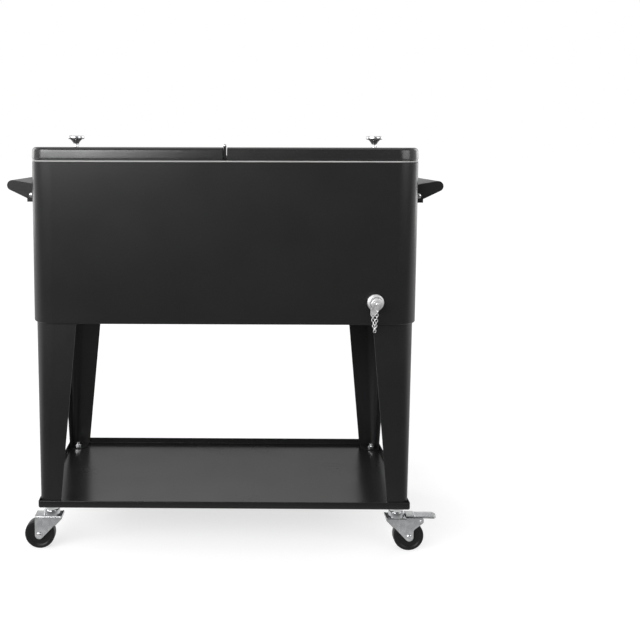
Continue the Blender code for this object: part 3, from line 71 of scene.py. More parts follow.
# Studio: a white floor that keeps a faint shadow, a white surround and large soft lamps.
# What glossy surfaces see of the floor and the surround is white behind the cart and fades towards
# the camera's side, where a studio is dark, so that black paint stays black and metal has contrast.
bpy.context.scene.view_settings.view_transform = "Standard"
floor_half = 60.0
floor_grey = 0.50
floor_glow_reach = (0.8, 4.0)
floor_glow_strength = (0.66, 0.90)
floor_gloss_fade = (-0.60, 0.05, 0.15, 0.85)
world_strength = 0.30
world_gloss_fade = (-0.90, 0.30, 0.15, 0.75)
ceiling_height = (0.25, 1.0)
ceiling_gloss = (1.0, 0.40)


def map_range(tree, source, from_low, from_high, low, high, kind="LINEAR"):
    """Maps a value to a new range; low and high are numbers or sockets."""
    mapped = tree.nodes.new("ShaderNodeMapRange")
    mapped.interpolation_type = kind
    tree.links.new(source, mapped.inputs["Value"])
    labels = ("From Min", "From Max", "To Min", "To Max")
    for label, value in zip(labels, (from_low, from_high, low, high)):
        if isinstance(value, (int, float)):
            mapped.inputs[label].default_value = value
        else:
            tree.links.new(value, mapped.inputs[label])
    return mapped.outputs[0]


def coordinate(tree, place, axis):
    """One coordinate of a place."""
    split = tree.nodes.new("ShaderNodeSeparateXYZ")
    tree.links.new(place, split.inputs[0])
    return split.outputs[axis]


def math_of(tree, operation, first, second):
    """Two values put together by a math node."""
    node = tree.nodes.new("ShaderNodeMath")
    node.operation = operation
    tree.links.new(first, node.inputs[0])
    tree.links.new(second, node.inputs[1])
    return node.outputs[0]


def seen_straight(tree, path):
    """1 on camera and transmission rays."""
    return math_of(tree, "MAXIMUM", path.outputs["Is Camera Ray"], path.outputs["Is Transmission Ray"])


def either_shader(tree, mask, when_not, when):
    """The second shader where the mask is 1, the first where it is 0."""
    mix = tree.nodes.new("ShaderNodeMixShader")
    for source, socket in ((mask, 0), (when_not, 1), (when, 2)):
        tree.links.new(source, mix.inputs[socket])
    return mix.outputs[0]


floor_mesh = bpy.data.meshes.new("studio_floor")
floor_mesh.from_pydata([(x * floor_half, y * floor_half, 0) for x, y in ((-1, -1), (1, -1), (1, 1), (-1, 1))],
                       [], [(0, 1, 2, 3)])
studio_floor = bpy.data.objects.new("studio_floor", floor_mesh)
bpy.context.scene.collection.objects.link(studio_floor)
floor_white = bpy.data.materials.new("floor_white")
floor_white.use_nodes = True
tree = floor_white.node_tree
tree.nodes.clear()
floor_out = tree.nodes.new("ShaderNodeOutputMaterial")
floor_matte = tree.nodes.new("ShaderNodeBsdfDiffuse")
floor_matte.inputs["Color"].default_value = (floor_grey, floor_grey, floor_grey, 1)
floor_path = tree.nodes.new("ShaderNodeLightPath")
floor_place = tree.nodes.new("ShaderNodeNewGeometry").outputs["Position"]
floor_away = tree.nodes.new("ShaderNodeVectorMath")
floor_away.operation = "LENGTH"
tree.links.new(floor_place, floor_away.inputs[0])
floor_rise = map_range(tree, floor_away.outputs["Value"], *floor_glow_reach, *floor_glow_strength)
floor_glow = tree.nodes.new("ShaderNodeEmission")
floor_share = math_of(tree, "MULTIPLY", seen_straight(tree, floor_path), floor_rise)
tree.links.new(floor_share, floor_glow.inputs["Strength"])
floor_sum = tree.nodes.new("ShaderNodeAddShader")
tree.links.new(floor_matte.outputs[0], floor_sum.inputs[0])
tree.links.new(floor_glow.outputs[0], floor_sum.inputs[1])
floor_gloss = tree.nodes.new("ShaderNodeEmission")
tree.links.new(map_range(tree, coordinate(tree, floor_place, "Y"), *floor_gloss_fade, "SMOOTHSTEP"),
               floor_gloss.inputs["Strength"])
tree.links.new(either_shader(tree, floor_path.outputs["Is Glossy Ray"], floor_sum.outputs[0],
                             floor_gloss.outputs[0]), floor_out.inputs["Surface"])
floor_mesh.materials.append(floor_white)

surround = bpy.data.worlds.new("surround")
bpy.context.scene.world = surround
surround.use_nodes = True
tree = surround.node_tree
tree.nodes.clear()
world_out = tree.nodes.new("ShaderNodeOutputWorld")
world_light, world_seen, world_gloss = (tree.nodes.new("ShaderNodeBackground") for _ in range(3))
for background in (world_light, world_seen, world_gloss):
    background.inputs["Color"].default_value = (1, 1, 1, 1)
world_light.inputs["Strength"].default_value = world_strength
world_way = tree.nodes.new("ShaderNodeTexCoord").outputs["Generated"]
world_ceiling = map_range(tree, coordinate(tree, world_way, "Z"), *ceiling_height, *ceiling_gloss)
world_fade = map_range(tree, coordinate(tree, world_way, "Y"), *world_gloss_fade, "SMOOTHSTEP")
tree.links.new(math_of(tree, "MULTIPLY", world_fade, world_ceiling), world_gloss.inputs["Strength"])
world_path = tree.nodes.new("ShaderNodeLightPath")
world_mixed = either_shader(tree, world_path.outputs["Is Glossy Ray"], world_light.outputs[0],
                            world_gloss.outputs[0])
tree.links.new(either_shader(tree, seen_straight(tree, world_path), world_mixed, world_seen.outputs[0]),
               world_out.inputs["Surface"])

aim_at = Vector((0.0, -0.18, 0.60))
softboxes = (
    ("left_softbox", (-1.91, -2.30, 1.57), 3.6, 1.2, 92),
    ("right_softbox", (2.30, -1.90, 1.50), 1.8, 1.4, 20),
    ("top_softbox", (0.0, 0.1, 3.1), 3.2, 3.0, 22),
    ("left_rim_softbox", (-2.3, 1.6, 1.2), 1.2, 1.8, 14),
    ("right_rim_softbox", (2.3, 1.6, 1.2), 1.2, 1.8, 14),
)
for name, place, width, height, power in softboxes:
    lamp = bpy.data.lights.new(name, "AREA")
    lamp.shape = "RECTANGLE"
    lamp.size = width
    lamp.size_y = height
    lamp.energy = power
    softbox = bpy.data.objects.new(name, lamp)
    softbox.location = place
    softbox.rotation_euler = (aim_at - Vector(place)).to_track_quat("-Z", "Y").to_euler()
    bpy.context.scene.collection.objects.link(softbox)

# Outer shell: one sheet of steel folded round the tub, with large upright corners and a small
# turned edge at its foot. Satin black powder coat, slightly uneven as sprayed powder is.
shell_low, shell_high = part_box("outer_shell")
middle_y = (shell_low.y + shell_high.y) / 2
half_length = (shell_high.x - shell_low.x) / 2
half_depth = (shell_high.y - shell_low.y) / 2
corner_radius = 0.048
corner_steps = 18
sheet = 0.0012
foot_fillet = 0.003
fillet_steps = 5


def arc_points(centre, radius, start, end, steps):
    """Points on an arc, both ends included."""
    angles = [start + (end - start) * i / steps for i in range(steps + 1)]
    return [(centre[0] + radius * math.cos(a), centre[1] + radius * math.sin(a)) for a in angles]


def round_cornered(half_x, half_y, radius, steps):
    """A rectangle with round corners about the origin."""
    points = []
    for quarter, (sx, sy) in enumerate(((1, -1), (1, 1), (-1, 1), (-1, -1))):
        start = (quarter - 1) * math.pi / 2
        points += arc_points((sx * (half_x - radius), sy * (half_y - radius)), radius, start,
                             start + math.pi / 2, steps)
    return points


def rounded_ring(half_x, half_y, radius, z, steps=corner_steps):
    """A level rectangle with round corners about the cart's middle."""
    return [(x, y + middle_y, z) for x, y in round_cornered(half_x, half_y, radius, steps)]


def body_ring(inset, z, radius=None):
    """A ring round the body, drawn in from its outside."""
    radius = corner_radius - inset if radius is None else radius
    return rounded_ring(half_length - inset, half_depth - inset, radius, z)


def fillet(radius):
    """The steps of a rounded lower edge: how far each is drawn in, and its height over the foot."""
    angles = [math.pi / 2 * i / fillet_steps for i in range(fillet_steps + 1)]
    return [(radius * (1 - math.sin(a)), radius * (1 - math.cos(a))) for a in angles]


def skin(rings, ends="capped"):
    """A mesh through rings of points or single points; its ends are capped, joined or left."""
    bm = bmesh.new()
    loops = [[bm.verts.new(point) for point in ring] for ring in rings]
    if ends == "capped":
        bm.faces.new(loops[0][::-1])
        bm.faces.new(loops[-1])
    if ends == "joined":
        loops.append(loops[0])
    for low, high in zip(loops, loops[1:]):
        count = max(len(low), len(high))
        for i in range(count):
            j = (i + 1) % count
            corners = (low[i % len(low)], low[j % len(low)], high[j % len(high)], high[i % len(high)])
            bm.faces.new(tuple(dict.fromkeys(corners)))
    bmesh.ops.recalc_face_normals(bm, faces=bm.faces)
    return bm


def piece_from(bm, name, smooth):
    """Turns the mesh into a piece with outward faces, smooth up to the given angle."""
    bmesh.ops.recalc_face_normals(bm, faces=bm.faces)
    mesh = bpy.data.meshes.new(name)
    bm.to_mesh(mesh)
    bm.free()
    mesh.shade_smooth()
    mesh.set_sharp_from_angle(angle=math.radians(smooth))
    piece = bpy.data.objects.new(name, mesh)
    bpy.context.scene.collection.objects.link(piece)
    return piece


def dress(piece, material):
    """Gives a piece or a CAD solid its material."""
    piece.data.materials.clear()
    piece.data.materials.append(material)


def fit(bm, name, material, body, node, soft=0.0, smooth=35):
    """Makes a piece with its finish, its sharp edges rounded if asked, on its body for its CAD solid."""
    piece = piece_from(bm, name, smooth)
    dress(piece, material)
    if soft:
        bevel = piece.modifiers.new("soft_edges", "BEVEL")
        bevel.width = soft
        bevel.segments = 2
        bevel.limit_method = "ANGLE"
        bevel.angle_limit = math.radians(30)
        bevel.use_clamp_overlap = True
        bevel.harden_normals = True
    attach(piece, body)
    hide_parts(node)


def finish_group(name, inputs, fine, broad, spots, spot_range, relief, relief_depth):
    """A finish with a fine relief, broad changes of gloss and spots of a second colour.

    Each noise is its scale, or the input that gives it, and its detail.
    """
    group = bpy.data.node_groups.new(name, "ShaderNodeTree")
    for label, value in inputs.items():
        kind = "NodeSocketFloat" if isinstance(value, float) else "NodeSocketColor"
        group.interface.new_socket(label, in_out="INPUT", socket_type=kind).default_value = value
    for label, kind in (("Colour", "Color"), ("Roughness", "Float"), ("Normal", "Vector")):
        group.interface.new_socket(label, in_out="OUTPUT", socket_type=f"NodeSocket{kind}")
    given = group.nodes.new("NodeGroupInput").outputs
    place = group.nodes.new("ShaderNodeTexCoord").outputs["Object"]
    noises = {}
    for scale, detail in dict.fromkeys((fine, broad, spots)):
        noise = group.nodes.new("ShaderNodeTexNoise")
        noise.inputs["Detail"].default_value = detail
        group.links.new(place, noise.inputs["Vector"])
        if scale in inputs:
            group.links.new(given[scale], noise.inputs["Scale"])
        else:
            noise.inputs["Scale"].default_value = scale
        noises[scale, detail] = noise.outputs["Fac"]
    tint = group.nodes.new("ShaderNodeMix")
    tint.data_type = "RGBA"
    group.links.new(map_range(group, noises[spots], *spot_range), tint.inputs["Factor"])
    colour, second = list(inputs)[:2]
    group.links.new(given[colour], tint.inputs["A"])
    group.links.new(given[second], tint.inputs["B"])
    bump = group.nodes.new("ShaderNodeBump")
    bump.inputs["Distance"].default_value = relief
    group.links.new(given[relief_depth], bump.inputs["Strength"])
    group.links.new(noises[fine], bump.inputs["Height"])
    result = group.nodes.new("NodeGroupOutput").inputs
    group.links.new(tint.outputs["Result"], result["Colour"])
    group.links.new(map_range(group, noises[broad], 0.3, 0.7, given["Roughness Low"], given["Roughness High"]),
                    result["Roughness"])
    group.links.new(bump.outputs["Normal"], result["Normal"])
    return group


def finished(name, group, colours, roughness, group_values, **shader_values):
    """A material whose Principled shader takes colour, roughness and normal from a finish group."""
    material = bpy.data.materials.new(name)
    material.use_nodes = True
    nodes = material.node_tree.nodes
    shader = nodes["Principled BSDF"]
    for label, value in shader_values.items():
        shader.inputs[label.replace("_", " ")].default_value = value
    finish = nodes.new("ShaderNodeGroup")
    finish.node_tree = group
    for socket, colour in zip(finish.inputs, colours):
        socket.default_value = (*colour, 1)
    finish.inputs["Roughness Low"].default_value, finish.inputs["Roughness High"].default_value = roughness
    for label, value in group_values.items():
        finish.inputs[label].default_value = value
    for label, socket in (("Colour", "Base Color"), ("Roughness", "Roughness"), ("Normal", "Normal")):
        material.node_tree.links.new(finish.outputs[label], shader.inputs[socket])
    return material


# An even coat with fine orange peel, broad cloudy changes of gloss and a few specks of dust.
coat_finish = finish_group(
    "coat_finish",
    {"Colour": (0.02, 0.02, 0.02, 1), "Dust Colour": (0.10, 0.10, 0.10, 1), "Roughness Low": 0.34,
     "Roughness High": 0.44, "Peel Depth": 0.25},
    fine=(1400.0, 2.0), broad=(9.0, 3.0), spots=(950.0, 0.0), spot_range=(0.76, 0.82, 0.0, 0.40),
    relief=0.00006, relief_depth="Peel Depth")


def coat(name, grey, roughness, peel, gloss=0.42):
    """A black coat: its grey, the range of its roughness, its orange peel and its specular level."""
    return finished(name, coat_finish, [(grey, grey, grey)], roughness, {"Peel Depth": peel},
                    Specular_IOR_Level=gloss)


shell_coat = coat("shell_coat", 0.0125, (0.30, 0.38), 0.30)
shell_rings = [body_ring(drawn, shell_low.z + up) for drawn, up in fillet(foot_fillet)]
shell_rings += [
    body_ring(0, shell_high.z - sheet / 3),
    body_ring(sheet / 3, shell_high.z),
    body_ring(sheet, shell_high.z),
    body_ring(sheet, shell_low.z + foot_fillet),
    body_ring(foot_fillet, shell_low.z + sheet),
]
fit(skin(shell_rings), "shell_skin", shell_coat, "cart", "outer_shell")

# Liner: a moulded tub whose rim lies on the shell's edge; it shows as a light line under the lids.
# Pale grey plastic, slightly mottled, with a smooth wet-looking inside.
liner_low, liner_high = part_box("inner_liner")
rim_thickness = 0.0026
liner_inset = 0.0323
liner_wall = 0.0025
liner_radius = 0.040
liner_fillet = 0.006
mouth_round = 0.0025
liner_skin_inset = liner_inset - liner_wall
rim_foot = liner_high.z - rim_thickness
rim_edge = rim_thickness / 3

moulded_finish = finish_group(
    "moulded_finish",
    {"Colour": (0.6, 0.6, 0.58, 1), "Shade Colour": (0.5, 0.5, 0.48, 1), "Roughness Low": 0.40,
     "Roughness High": 0.52, "Grain Size": 900.0, "Grain Depth": 0.20},
    fine=("Grain Size", 1.0), broad=(14.0, 2.0), spots=(14.0, 2.0), spot_range=(0.3, 0.7, 0.0, 1.0),
    relief=0.00005, relief_depth="Grain Depth")
liner_plastic = finished("liner_plastic", moulded_finish, [(0.52, 0.52, 0.51), (0.46, 0.46, 0.45)],
                         (0.30, 0.42), {"Grain Depth": 0.10})
liner_rings = [body_ring(liner_skin_inset + drawn, liner_low.z + up, liner_radius + liner_wall - drawn)
               for drawn, up in fillet(liner_fillet)]
liner_rings += [
    body_ring(liner_skin_inset, rim_foot, liner_radius + liner_wall),
    body_ring(rim_edge, rim_foot),
    body_ring(0, rim_foot + rim_edge),
    body_ring(0, liner_high.z - rim_edge),
    body_ring(rim_edge, liner_high.z),
]
liner_rings += [body_ring(liner_inset - drawn, liner_high.z - up, liner_radius + drawn)
                for drawn, up in fillet(mouth_round)]
liner_rings += [body_ring(liner_inset + drawn, liner_low.z + liner_wall + up, liner_radius - drawn)
                for drawn, up in reversed(fillet(liner_fillet))]
fit(skin(liner_rings), "liner_skin", liner_plastic, "cart", "inner_liner")

# Foam: rigid, poured between shell and liner and inside each lid, where it sets and fills the space.
# It is sealed in, so it keeps its CAD solid.
foam_fill = finished("foam_fill", moulded_finish, [(0.78, 0.72, 0.50), (0.70, 0.62, 0.40)], (0.85, 0.95),
                     {"Grain Size": 700.0, "Grain Depth": 0.80})
for name in ("body_insulation", "lid_foam_left", "lid_foam_right"):
    dress(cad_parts[name], foam_fill)

# Lids: two pressed steel covers with a rounded top edge, folded in a step at the hem, on a moulded
# panel that plugs the mouth. The coat is glossier than the body's, since the lids are seen on edge.
hands = ((-1, "left"), (1, "right"))
lid_low, lid_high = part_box("lid_right")
split_gap = lid_low.x + 0.0010
lid_foot = lid_low.z
lid_top = lid_high.z
hem_height = 0.0036
hem_step = 0.0009
clear = 0.0003
hem_top = lid_foot + hem_height
hem_inside = hem_step + sheet
fold = hem_step / 3
lid_edge_radius = 0.0074
lid_split_bend = 0.0015
lid_edge_steps = 9
lid_wall_steps = 4
lid_foot_lean = math.radians(2.6)
lid_wall_lean = math.radians(3.7)
lid_coat = coat("lid_coat", 0.0140, (0.20, 0.27), 0.18, 0.76)


def lid_ring(side, inset, split_inset, z, radius=None):
    """A ring round one lid: round corners at its far end, square ones at the split."""
    radius = corner_radius - inset if radius is None else radius
    near = split_gap + split_inset
    far = half_length - inset
    half = half_depth - inset
    ring = [(near, -half)]
    ring += arc_points((far - radius, radius - half), radius, -math.pi / 2, 0, corner_steps)
    ring += arc_points((far - radius, half - radius), radius, 0, math.pi / 2, corner_steps)
    ring.append((near, half))
    return [(side * x, middle_y + y, z) for x, y in ring]


def lid_wall_rings(side, inset, foot, top, radius):
    """The wall, which leans in a little, and the rounded edge above it, from the foot to the top."""
    rise = top - radius * (1 - math.sin(lid_wall_lean)) - foot
    slope = math.tan(lid_foot_lean)
    bulge = (math.tan(lid_wall_lean) - slope) / 2
    lean = rise * (slope + bulge)
    rings = []
    for i in range(lid_wall_steps):
        up = i / lid_wall_steps
        rings.append(lid_ring(side, inset + rise * (slope + bulge * up) * up, inset, foot + rise * up))
    for i in range(lid_edge_steps + 1):
        a = lid_wall_lean + (math.pi / 2 - lid_wall_lean) * i / lid_edge_steps
        rings.append(lid_ring(side, inset + lean + radius * (math.cos(lid_wall_lean) - math.cos(a)),
                              inset + lid_split_bend * (1 - math.cos(a)), top - radius * (1 - math.sin(a))))
    return rings


for side, hand in hands:
    lid_rings = lid_wall_rings(side, sheet, hem_top + sheet, lid_top - sheet, lid_edge_radius - sheet)[::-1]
    lid_rings += [
        lid_ring(side, hem_inside, sheet, hem_top),
        lid_ring(side, hem_inside, sheet, lid_foot),
        lid_ring(side, hem_step + fold, 0, lid_foot),
        lid_ring(side, hem_step, 0, lid_foot + fold),
        lid_ring(side, hem_step, 0, hem_top - hem_step),
        lid_ring(side, fold, 0, hem_top - fold),
        lid_ring(side, 0, 0, hem_top + fold / 2),
    ]
    lid_rings += lid_wall_rings(side, 0, hem_top + fold, lid_top, lid_edge_radius)
    fit(skin(lid_rings), f"lid_skin_{hand}", lid_coat, f"lid_body_{hand}", f"lid_{hand}")

panel_wall = 0.002
plug_fillet = 0.003
plug_gap = 0.005
rail_half = 0.010
plug_inset = liner_inset + plug_gap
plug_split = rail_half + plug_gap - split_gap
plug_radius = liner_radius - plug_gap
flange_z = lid_foot + clear
flange_inset = hem_inside + clear
flange_split = sheet + clear
for side, hand in hands:
    plug_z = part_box(f"lid_panel_{hand}")[0].z
    panel_rings = [lid_ring(side, plug_inset + drawn, plug_split + drawn, plug_z + up, plug_radius - drawn)
                   for drawn, up in fillet(plug_fillet)]
    panel_rings += [
        lid_ring(side, plug_inset, plug_split, flange_z, plug_radius),
        lid_ring(side, flange_inset, flange_split, flange_z),
        lid_ring(side, flange_inset, flange_split, flange_z + panel_wall),
    ]
    panel_rings += [lid_ring(side, plug_inset + panel_wall, plug_split + panel_wall, z + panel_wall,
                             plug_radius - panel_wall) for z in (flange_z, plug_z)]
    fit(skin(panel_rings), f"lid_inner_panel_{hand}", liner_plastic, f"lid_body_{hand}",
        f"lid_panel_{hand}")

# Knobs: turned and chromed, a collar, a flaring neck and a flat disc to pull by.
# A pan-headed screw holds each from inside the lid.
turned_finish = finish_group(
    "turned_finish",
    {"Colour": (0.8, 0.8, 0.8, 1), "Dull Colour": (0.6, 0.6, 0.6, 1), "Roughness Low": 0.06,
     "Roughness High": 0.16, "Patch Size": 120.0, "Scratch Depth": 0.10},
    fine=(2600.0, 2.0), broad=("Patch Size", 4.0), spots=("Patch Size", 4.0), spot_range=(0.35, 0.75, 0.0, 1.0),
    relief=0.00003, relief_depth="Scratch Depth")


def metal(name, bright, dull, roughness, **group_values):
    """A bright metal; the two colours are given by their red and green, and their blue."""
    colours = [(grey, grey, blue) for grey, blue in (bright, dull)]
    values = {label.replace("_", " "): value for label, value in group_values.items()}
    return finished(name, turned_finish, colours, roughness, values, Metallic=1.0)


chrome = metal("chrome", (0.82, 0.83), (0.74, 0.75), (0.24, 0.34))
screw_steel = metal("screw_steel", (0.74, 0.75), (0.56, 0.57), (0.18, 0.32), Patch_Size=300.0,
                    Scratch_Depth=0.25)


def turn_angles(steps):
    """The angles of a full turn in even steps."""
    return [math.tau * i / steps for i in range(steps)]


def turned(profile, steps, axis="Z", centre=(0, 0, 0)):
    """A mesh from a profile of (radius, height) turned round an axis through the centre."""
    rings = [[(radius * math.cos(a), radius * math.sin(a), height) for a in turn_angles(steps if radius else 1)]
             for radius, height in profile]
    bm = skin(rings, "joined" if profile[0][0] else "left")
    if axis == "Y":
        bmesh.ops.rotate(bm, verts=bm.verts, matrix=Matrix.Rotation(math.pi / 2, 3, "X"))
    bmesh.ops.translate(bm, verts=bm.verts, vec=Vector(centre))
    return bm


def dome(radius, foot, height, top_radius=0, steps=8):
    """Points of a profile that curves in from the radius at the foot to the top's radius."""
    angles = [math.pi / 2 * i / steps for i in range(steps)]
    points = [(top_radius + (radius - top_radius) * math.cos(a), foot + height * math.sin(a)) for a in angles]
    return points + [(top_radius, foot + height)]


knob_inset = 0.062
knob_steps = 64
collar_radius = 0.0063
collar_height = 0.0064
collar_edge = 0.0004
neck_radius = 0.0058
neck_flare = 0.0066
neck_height = 0.0098
neck_steps = 8
disc_edge_low = 0.0022
disc_edge_top = 0.0025
disc_radius = 0.0175
screw_head = 0.0048
screw_head_dome = 0.0017
screw_head_height = 0.0026
screw_radius = 0.0022
screw_chamfer = 0.0005
for side, hand in hands:
    knob_low, knob_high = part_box(f"knob_{hand}")
    centre = (side * (half_length - knob_inset), middle_y, 0)
    collar_foot = knob_low.z
    neck_foot = collar_foot + collar_height
    neck_top = neck_foot + neck_height
    profile = [(0, collar_foot), (0.0060, collar_foot), (collar_radius, collar_foot + collar_edge),
               (collar_radius, neck_foot - 0.0008), (neck_radius, neck_foot)]
    profile += [(neck_radius + neck_flare * (i / neck_steps) ** 1.6, neck_foot + neck_height * i / neck_steps)
                for i in range(1, neck_steps + 1)]
    profile += arc_points((disc_radius - disc_edge_low, neck_top + 0.0028), disc_edge_low, -math.pi / 2, 0, 6)
    profile += arc_points((disc_radius - disc_edge_top, knob_high.z - 0.0029), disc_edge_top, 0, math.pi / 2, 6)
    profile += [(0.0100, knob_high.z - 0.0001), (0.0, knob_high.z)]
    fit(turned(profile, knob_steps, "Z", centre), f"lid_knob_{hand}", chrome, f"lid_body_{hand}",
        f"knob_{hand}")
    screw_low, screw_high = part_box(f"knob_screw_{hand}")
    profile = dome(screw_head, screw_low.z + screw_head_dome, -screw_head_dome)[::-1]
    profile += [(screw_head, screw_low.z + screw_head_height), (screw_radius, screw_low.z + screw_head_height),
                (screw_radius, screw_high.z - screw_chamfer), (screw_radius - screw_chamfer, screw_high.z),
                (0, screw_high.z)]
    fit(turned(profile, 32, "Z", centre), f"lid_screw_{hand}", screw_steel, f"lid_body_{hand}",
        f"knob_screw_{hand}")

# Hinge: one long bright pin through thirteen rolled knuckles. The fixed ones stand on a rail across
# the tub's mouth, the others on two leaves riveted to the lids' inner edges. Black coated steel.
hinge_coat = coat("hinge_coat", 0.0140, (0.32, 0.42), 0.20)


def middle_of(node):
    """The middle of a CAD solid's box."""
    low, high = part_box(node)
    return (low + high) / 2


hinge_z = middle_of("hinge_pin").z
hinge_half = 0.184
knuckle_count = 13
knuckle_radius = 0.0029
knuckle_gap = 0.0006
knuckle_soft = 0.0003
knuckle_overlap = 0.0005
knuckle_steps = 40
pin_radius = 0.0014
leaf_thickness = 0.0010
leaf_foot = 0.0025
leaf_foot_height = 0.0040
web_half = 0.0016
rail_height = 0.009
rail_wall = 0.0015
rail_tab_drop = 0.024
free_top = hinge_z - knuckle_radius - 0.0004
rail_top = liner_high.z - clear
rail_under = rail_top - rail_wall
rail_foot = rail_top - rail_height
rail_web = rail_half - rail_wall
rail_span = half_depth - liner_inset - clear


def extrude(outline, start, end, axis="Y"):
    """A flat outline pushed along an axis; the outline gives the other two coordinates in order."""
    places = {"X": lambda a, b, c: (c, a, b), "Y": lambda a, b, c: (a, c, b), "Z": lambda a, b, c: (a, b, c)}
    return skin([[places[axis](a, b, c) for a, b in outline] for c in (start, end)])


def bar(low_x, high_x, low_z, high_z, start, stop):
    """A square bar along Y; its start and stop are counted from the cart's middle."""
    return extrude([(low_x, low_z), (high_x, low_z), (high_x, high_z), (low_x, high_z)],
                   middle_y + start, middle_y + stop)


def add(bm, other):
    """Adds another mesh's faces."""
    mesh = bpy.data.meshes.new("joined")
    other.to_mesh(mesh)
    other.free()
    bm.from_mesh(mesh)
    bpy.data.meshes.remove(mesh)
    return bm


def knuckle_run(bm, first, low_x, high_x):
    """Adds every third knuckle from the given one, each with the strip of sheet that it is rolled from."""
    pitch = 2 * hinge_half / knuckle_count
    for i in range(first, knuckle_count, 3):
        start = i * pitch - hinge_half + knuckle_gap / 2
        stop = start + pitch - knuckle_gap
        add(bm, bar(low_x, high_x, free_top - knuckle_overlap, hinge_z, start, stop))
        rolled = [(pin_radius + clear, -stop), (knuckle_radius - knuckle_soft, -stop),
                  (knuckle_radius, knuckle_soft - stop), (knuckle_radius, -start - knuckle_soft),
                  (knuckle_radius - knuckle_soft, -start), (pin_radius + clear, -start)]
        add(bm, turned(rolled, knuckle_steps, "Y", (0, middle_y, hinge_z)))
    return bm


def both_ways(profile):
    """A profile and its mirror image below."""
    return profile + [(radius, -height) for radius, height in reversed(profile)]


rail_section = [(-rail_half, rail_foot), (-rail_web, rail_foot), (-rail_web, rail_under),
                (rail_web, rail_under), (rail_web, rail_foot), (rail_half, rail_foot), (rail_half, rail_top),
                (-rail_half, rail_top)]
bm = extrude(rail_section, middle_y - rail_span, middle_y + rail_span)
add(bm, bar(-web_half, web_half, rail_under, free_top, -rail_span, rail_span))
add(bm, bar(-web_half, web_half, liner_high.z + clear, free_top, -hinge_half, hinge_half))
for end in (-1, 1):
    add(bm, bar(-rail_half, rail_half, rail_top - rail_tab_drop, rail_top, end * (rail_span - rail_wall),
                end * rail_span))
fit(knuckle_run(bm, 0, -web_half, web_half), "hinge_rail", hinge_coat, "cart", "centre_rail")
leaf_low = lid_foot + leaf_foot
for first, (side, hand) in enumerate(hands, start=1):
    low_x, high_x = sorted((side * knuckle_radius, side * (knuckle_radius - leaf_thickness)))
    bm = bar(low_x, high_x, leaf_low, free_top, -hinge_half, hinge_half)
    foot_low, foot_high = sorted((side * (knuckle_radius - leaf_thickness / 2), side * split_gap))
    add(bm, bar(foot_low, foot_high, leaf_low, leaf_low + leaf_foot_height, leaf_thickness - hinge_half,
                hinge_half - leaf_thickness))
    fit(knuckle_run(bm, first, low_x, high_x), f"rolled_leaf_{hand}", hinge_coat,
        f"lid_body_{hand}", f"hinge_leaf_{hand}")
hinge_steel = metal("hinge_steel", (0.70, 0.71), (0.56, 0.57), (0.22, 0.34), Patch_Size=60.0,
                    Scratch_Depth=0.25)
pin_reach = hinge_half + clear
pin_head = knuckle_radius - clear
pin_side = dome(pin_head, pin_reach, pin_head / 2)[::-1] + [(pin_radius, pin_reach)]
fit(turned(both_ways(pin_side), knuckle_steps, "Y", (0, middle_y, hinge_z)), "long_pin", hinge_steel,
    "cart", "hinge_pin")

# Handles: one pressed piece at each end, two cheeks and a top that curls under into a round grip.
# A small bracket on the end wall holds it with two domed bolts. The same black coat as the shell.
frame_coat = coat("frame_coat", 0.0115, (0.30, 0.40), 0.25)


def bent_strip(points, thickness):
    """The outline of a sheet bent along a run of points on its middle."""
    left, right = [], []
    for i, point in enumerate(points):
        before = points[max(i - 1, 0)]
        after = points[min(i + 1, len(points) - 1)]
        ins = Vector((point[0] - before[0], point[1] - before[1]))
        outs = Vector((after[0] - point[0], after[1] - point[1]))
        ins = outs if ins.length == 0 else ins
        outs = ins if outs.length == 0 else outs
        way = ins.normalized() + outs.normalized()
        side = Vector((-way.y, way.x)).normalized()
        reach = thickness / 2 / max(side.dot(Vector((-ins.y, ins.x)).normalized()), 0.5)
        left.append((point[0] + side.x * reach, point[1] + side.y * reach))
        right.append((point[0] - side.x * reach, point[1] - side.y * reach))
    return left + right[::-1]


def touch(point, centre, radius, side):
    """The angle at which a line from the point touches the circle, on its left (1) or right (-1)."""
    away = Vector((point[0] - centre[0], point[1] - centre[1]))
    return math.atan2(away.y, away.x) + side * math.acos(radius / away.length)


def mirrored(bm, side, end=-1):
    """The mesh as built for the right-hand front, or its mirror image for the left or the rear."""
    flip = Matrix.Diagonal((side, -end, 1, 1))
    middle = Matrix.Translation((0, middle_y, 0))
    bmesh.ops.transform(bm, matrix=middle @ flip @ middle.inverted(), verts=bm.verts)
    return bm


ends = ((-1, "front"), (1, "rear"))
handle_reach = 0.061
handle_half = 0.105
handle_wall = 0.002
handle_drop = 0.0487
handle_curl = math.radians(215)
root_rise = 0.0025
root_drop = 0.035
grip_play = 0.0005
handle_soft = 0.0005
bracket_soft = 0.0004
tip_radius = 0.0105
tip_steps = 28
bracket_wall = 0.002
bracket_reach = 0.021
bracket_bend = 0.003
wall_x = half_length + clear
tip_z = shell_high.z - handle_drop
tip_centre = (wall_x + handle_reach - tip_radius, tip_z)
root_x = wall_x + bracket_wall + clear
root_top = (root_x, tip_z + root_rise)
root_low = (root_x, tip_z - root_drop)
high_touch = touch(root_top, tip_centre, tip_radius, -1)
sweep = (high_touch - touch(root_low, tip_centre, tip_radius, 1)) % math.tau
cheek = [root_low, *arc_points(tip_centre, tip_radius, high_touch - sweep, high_touch, tip_steps), root_top]
grip_radius = tip_radius - handle_wall / 2
inner_top = (root_x, root_top[1] - handle_wall / 2)
curl_from = touch(inner_top, tip_centre, grip_radius, -1)
grip = [inner_top, *arc_points(tip_centre, grip_radius, curl_from, curl_from - handle_curl, tip_steps)]
ear_y = handle_half - handle_wall - clear - bracket_wall / 2
ear_x = wall_x + bracket_reach
bend_x = wall_x + bracket_wall / 2 + bracket_bend
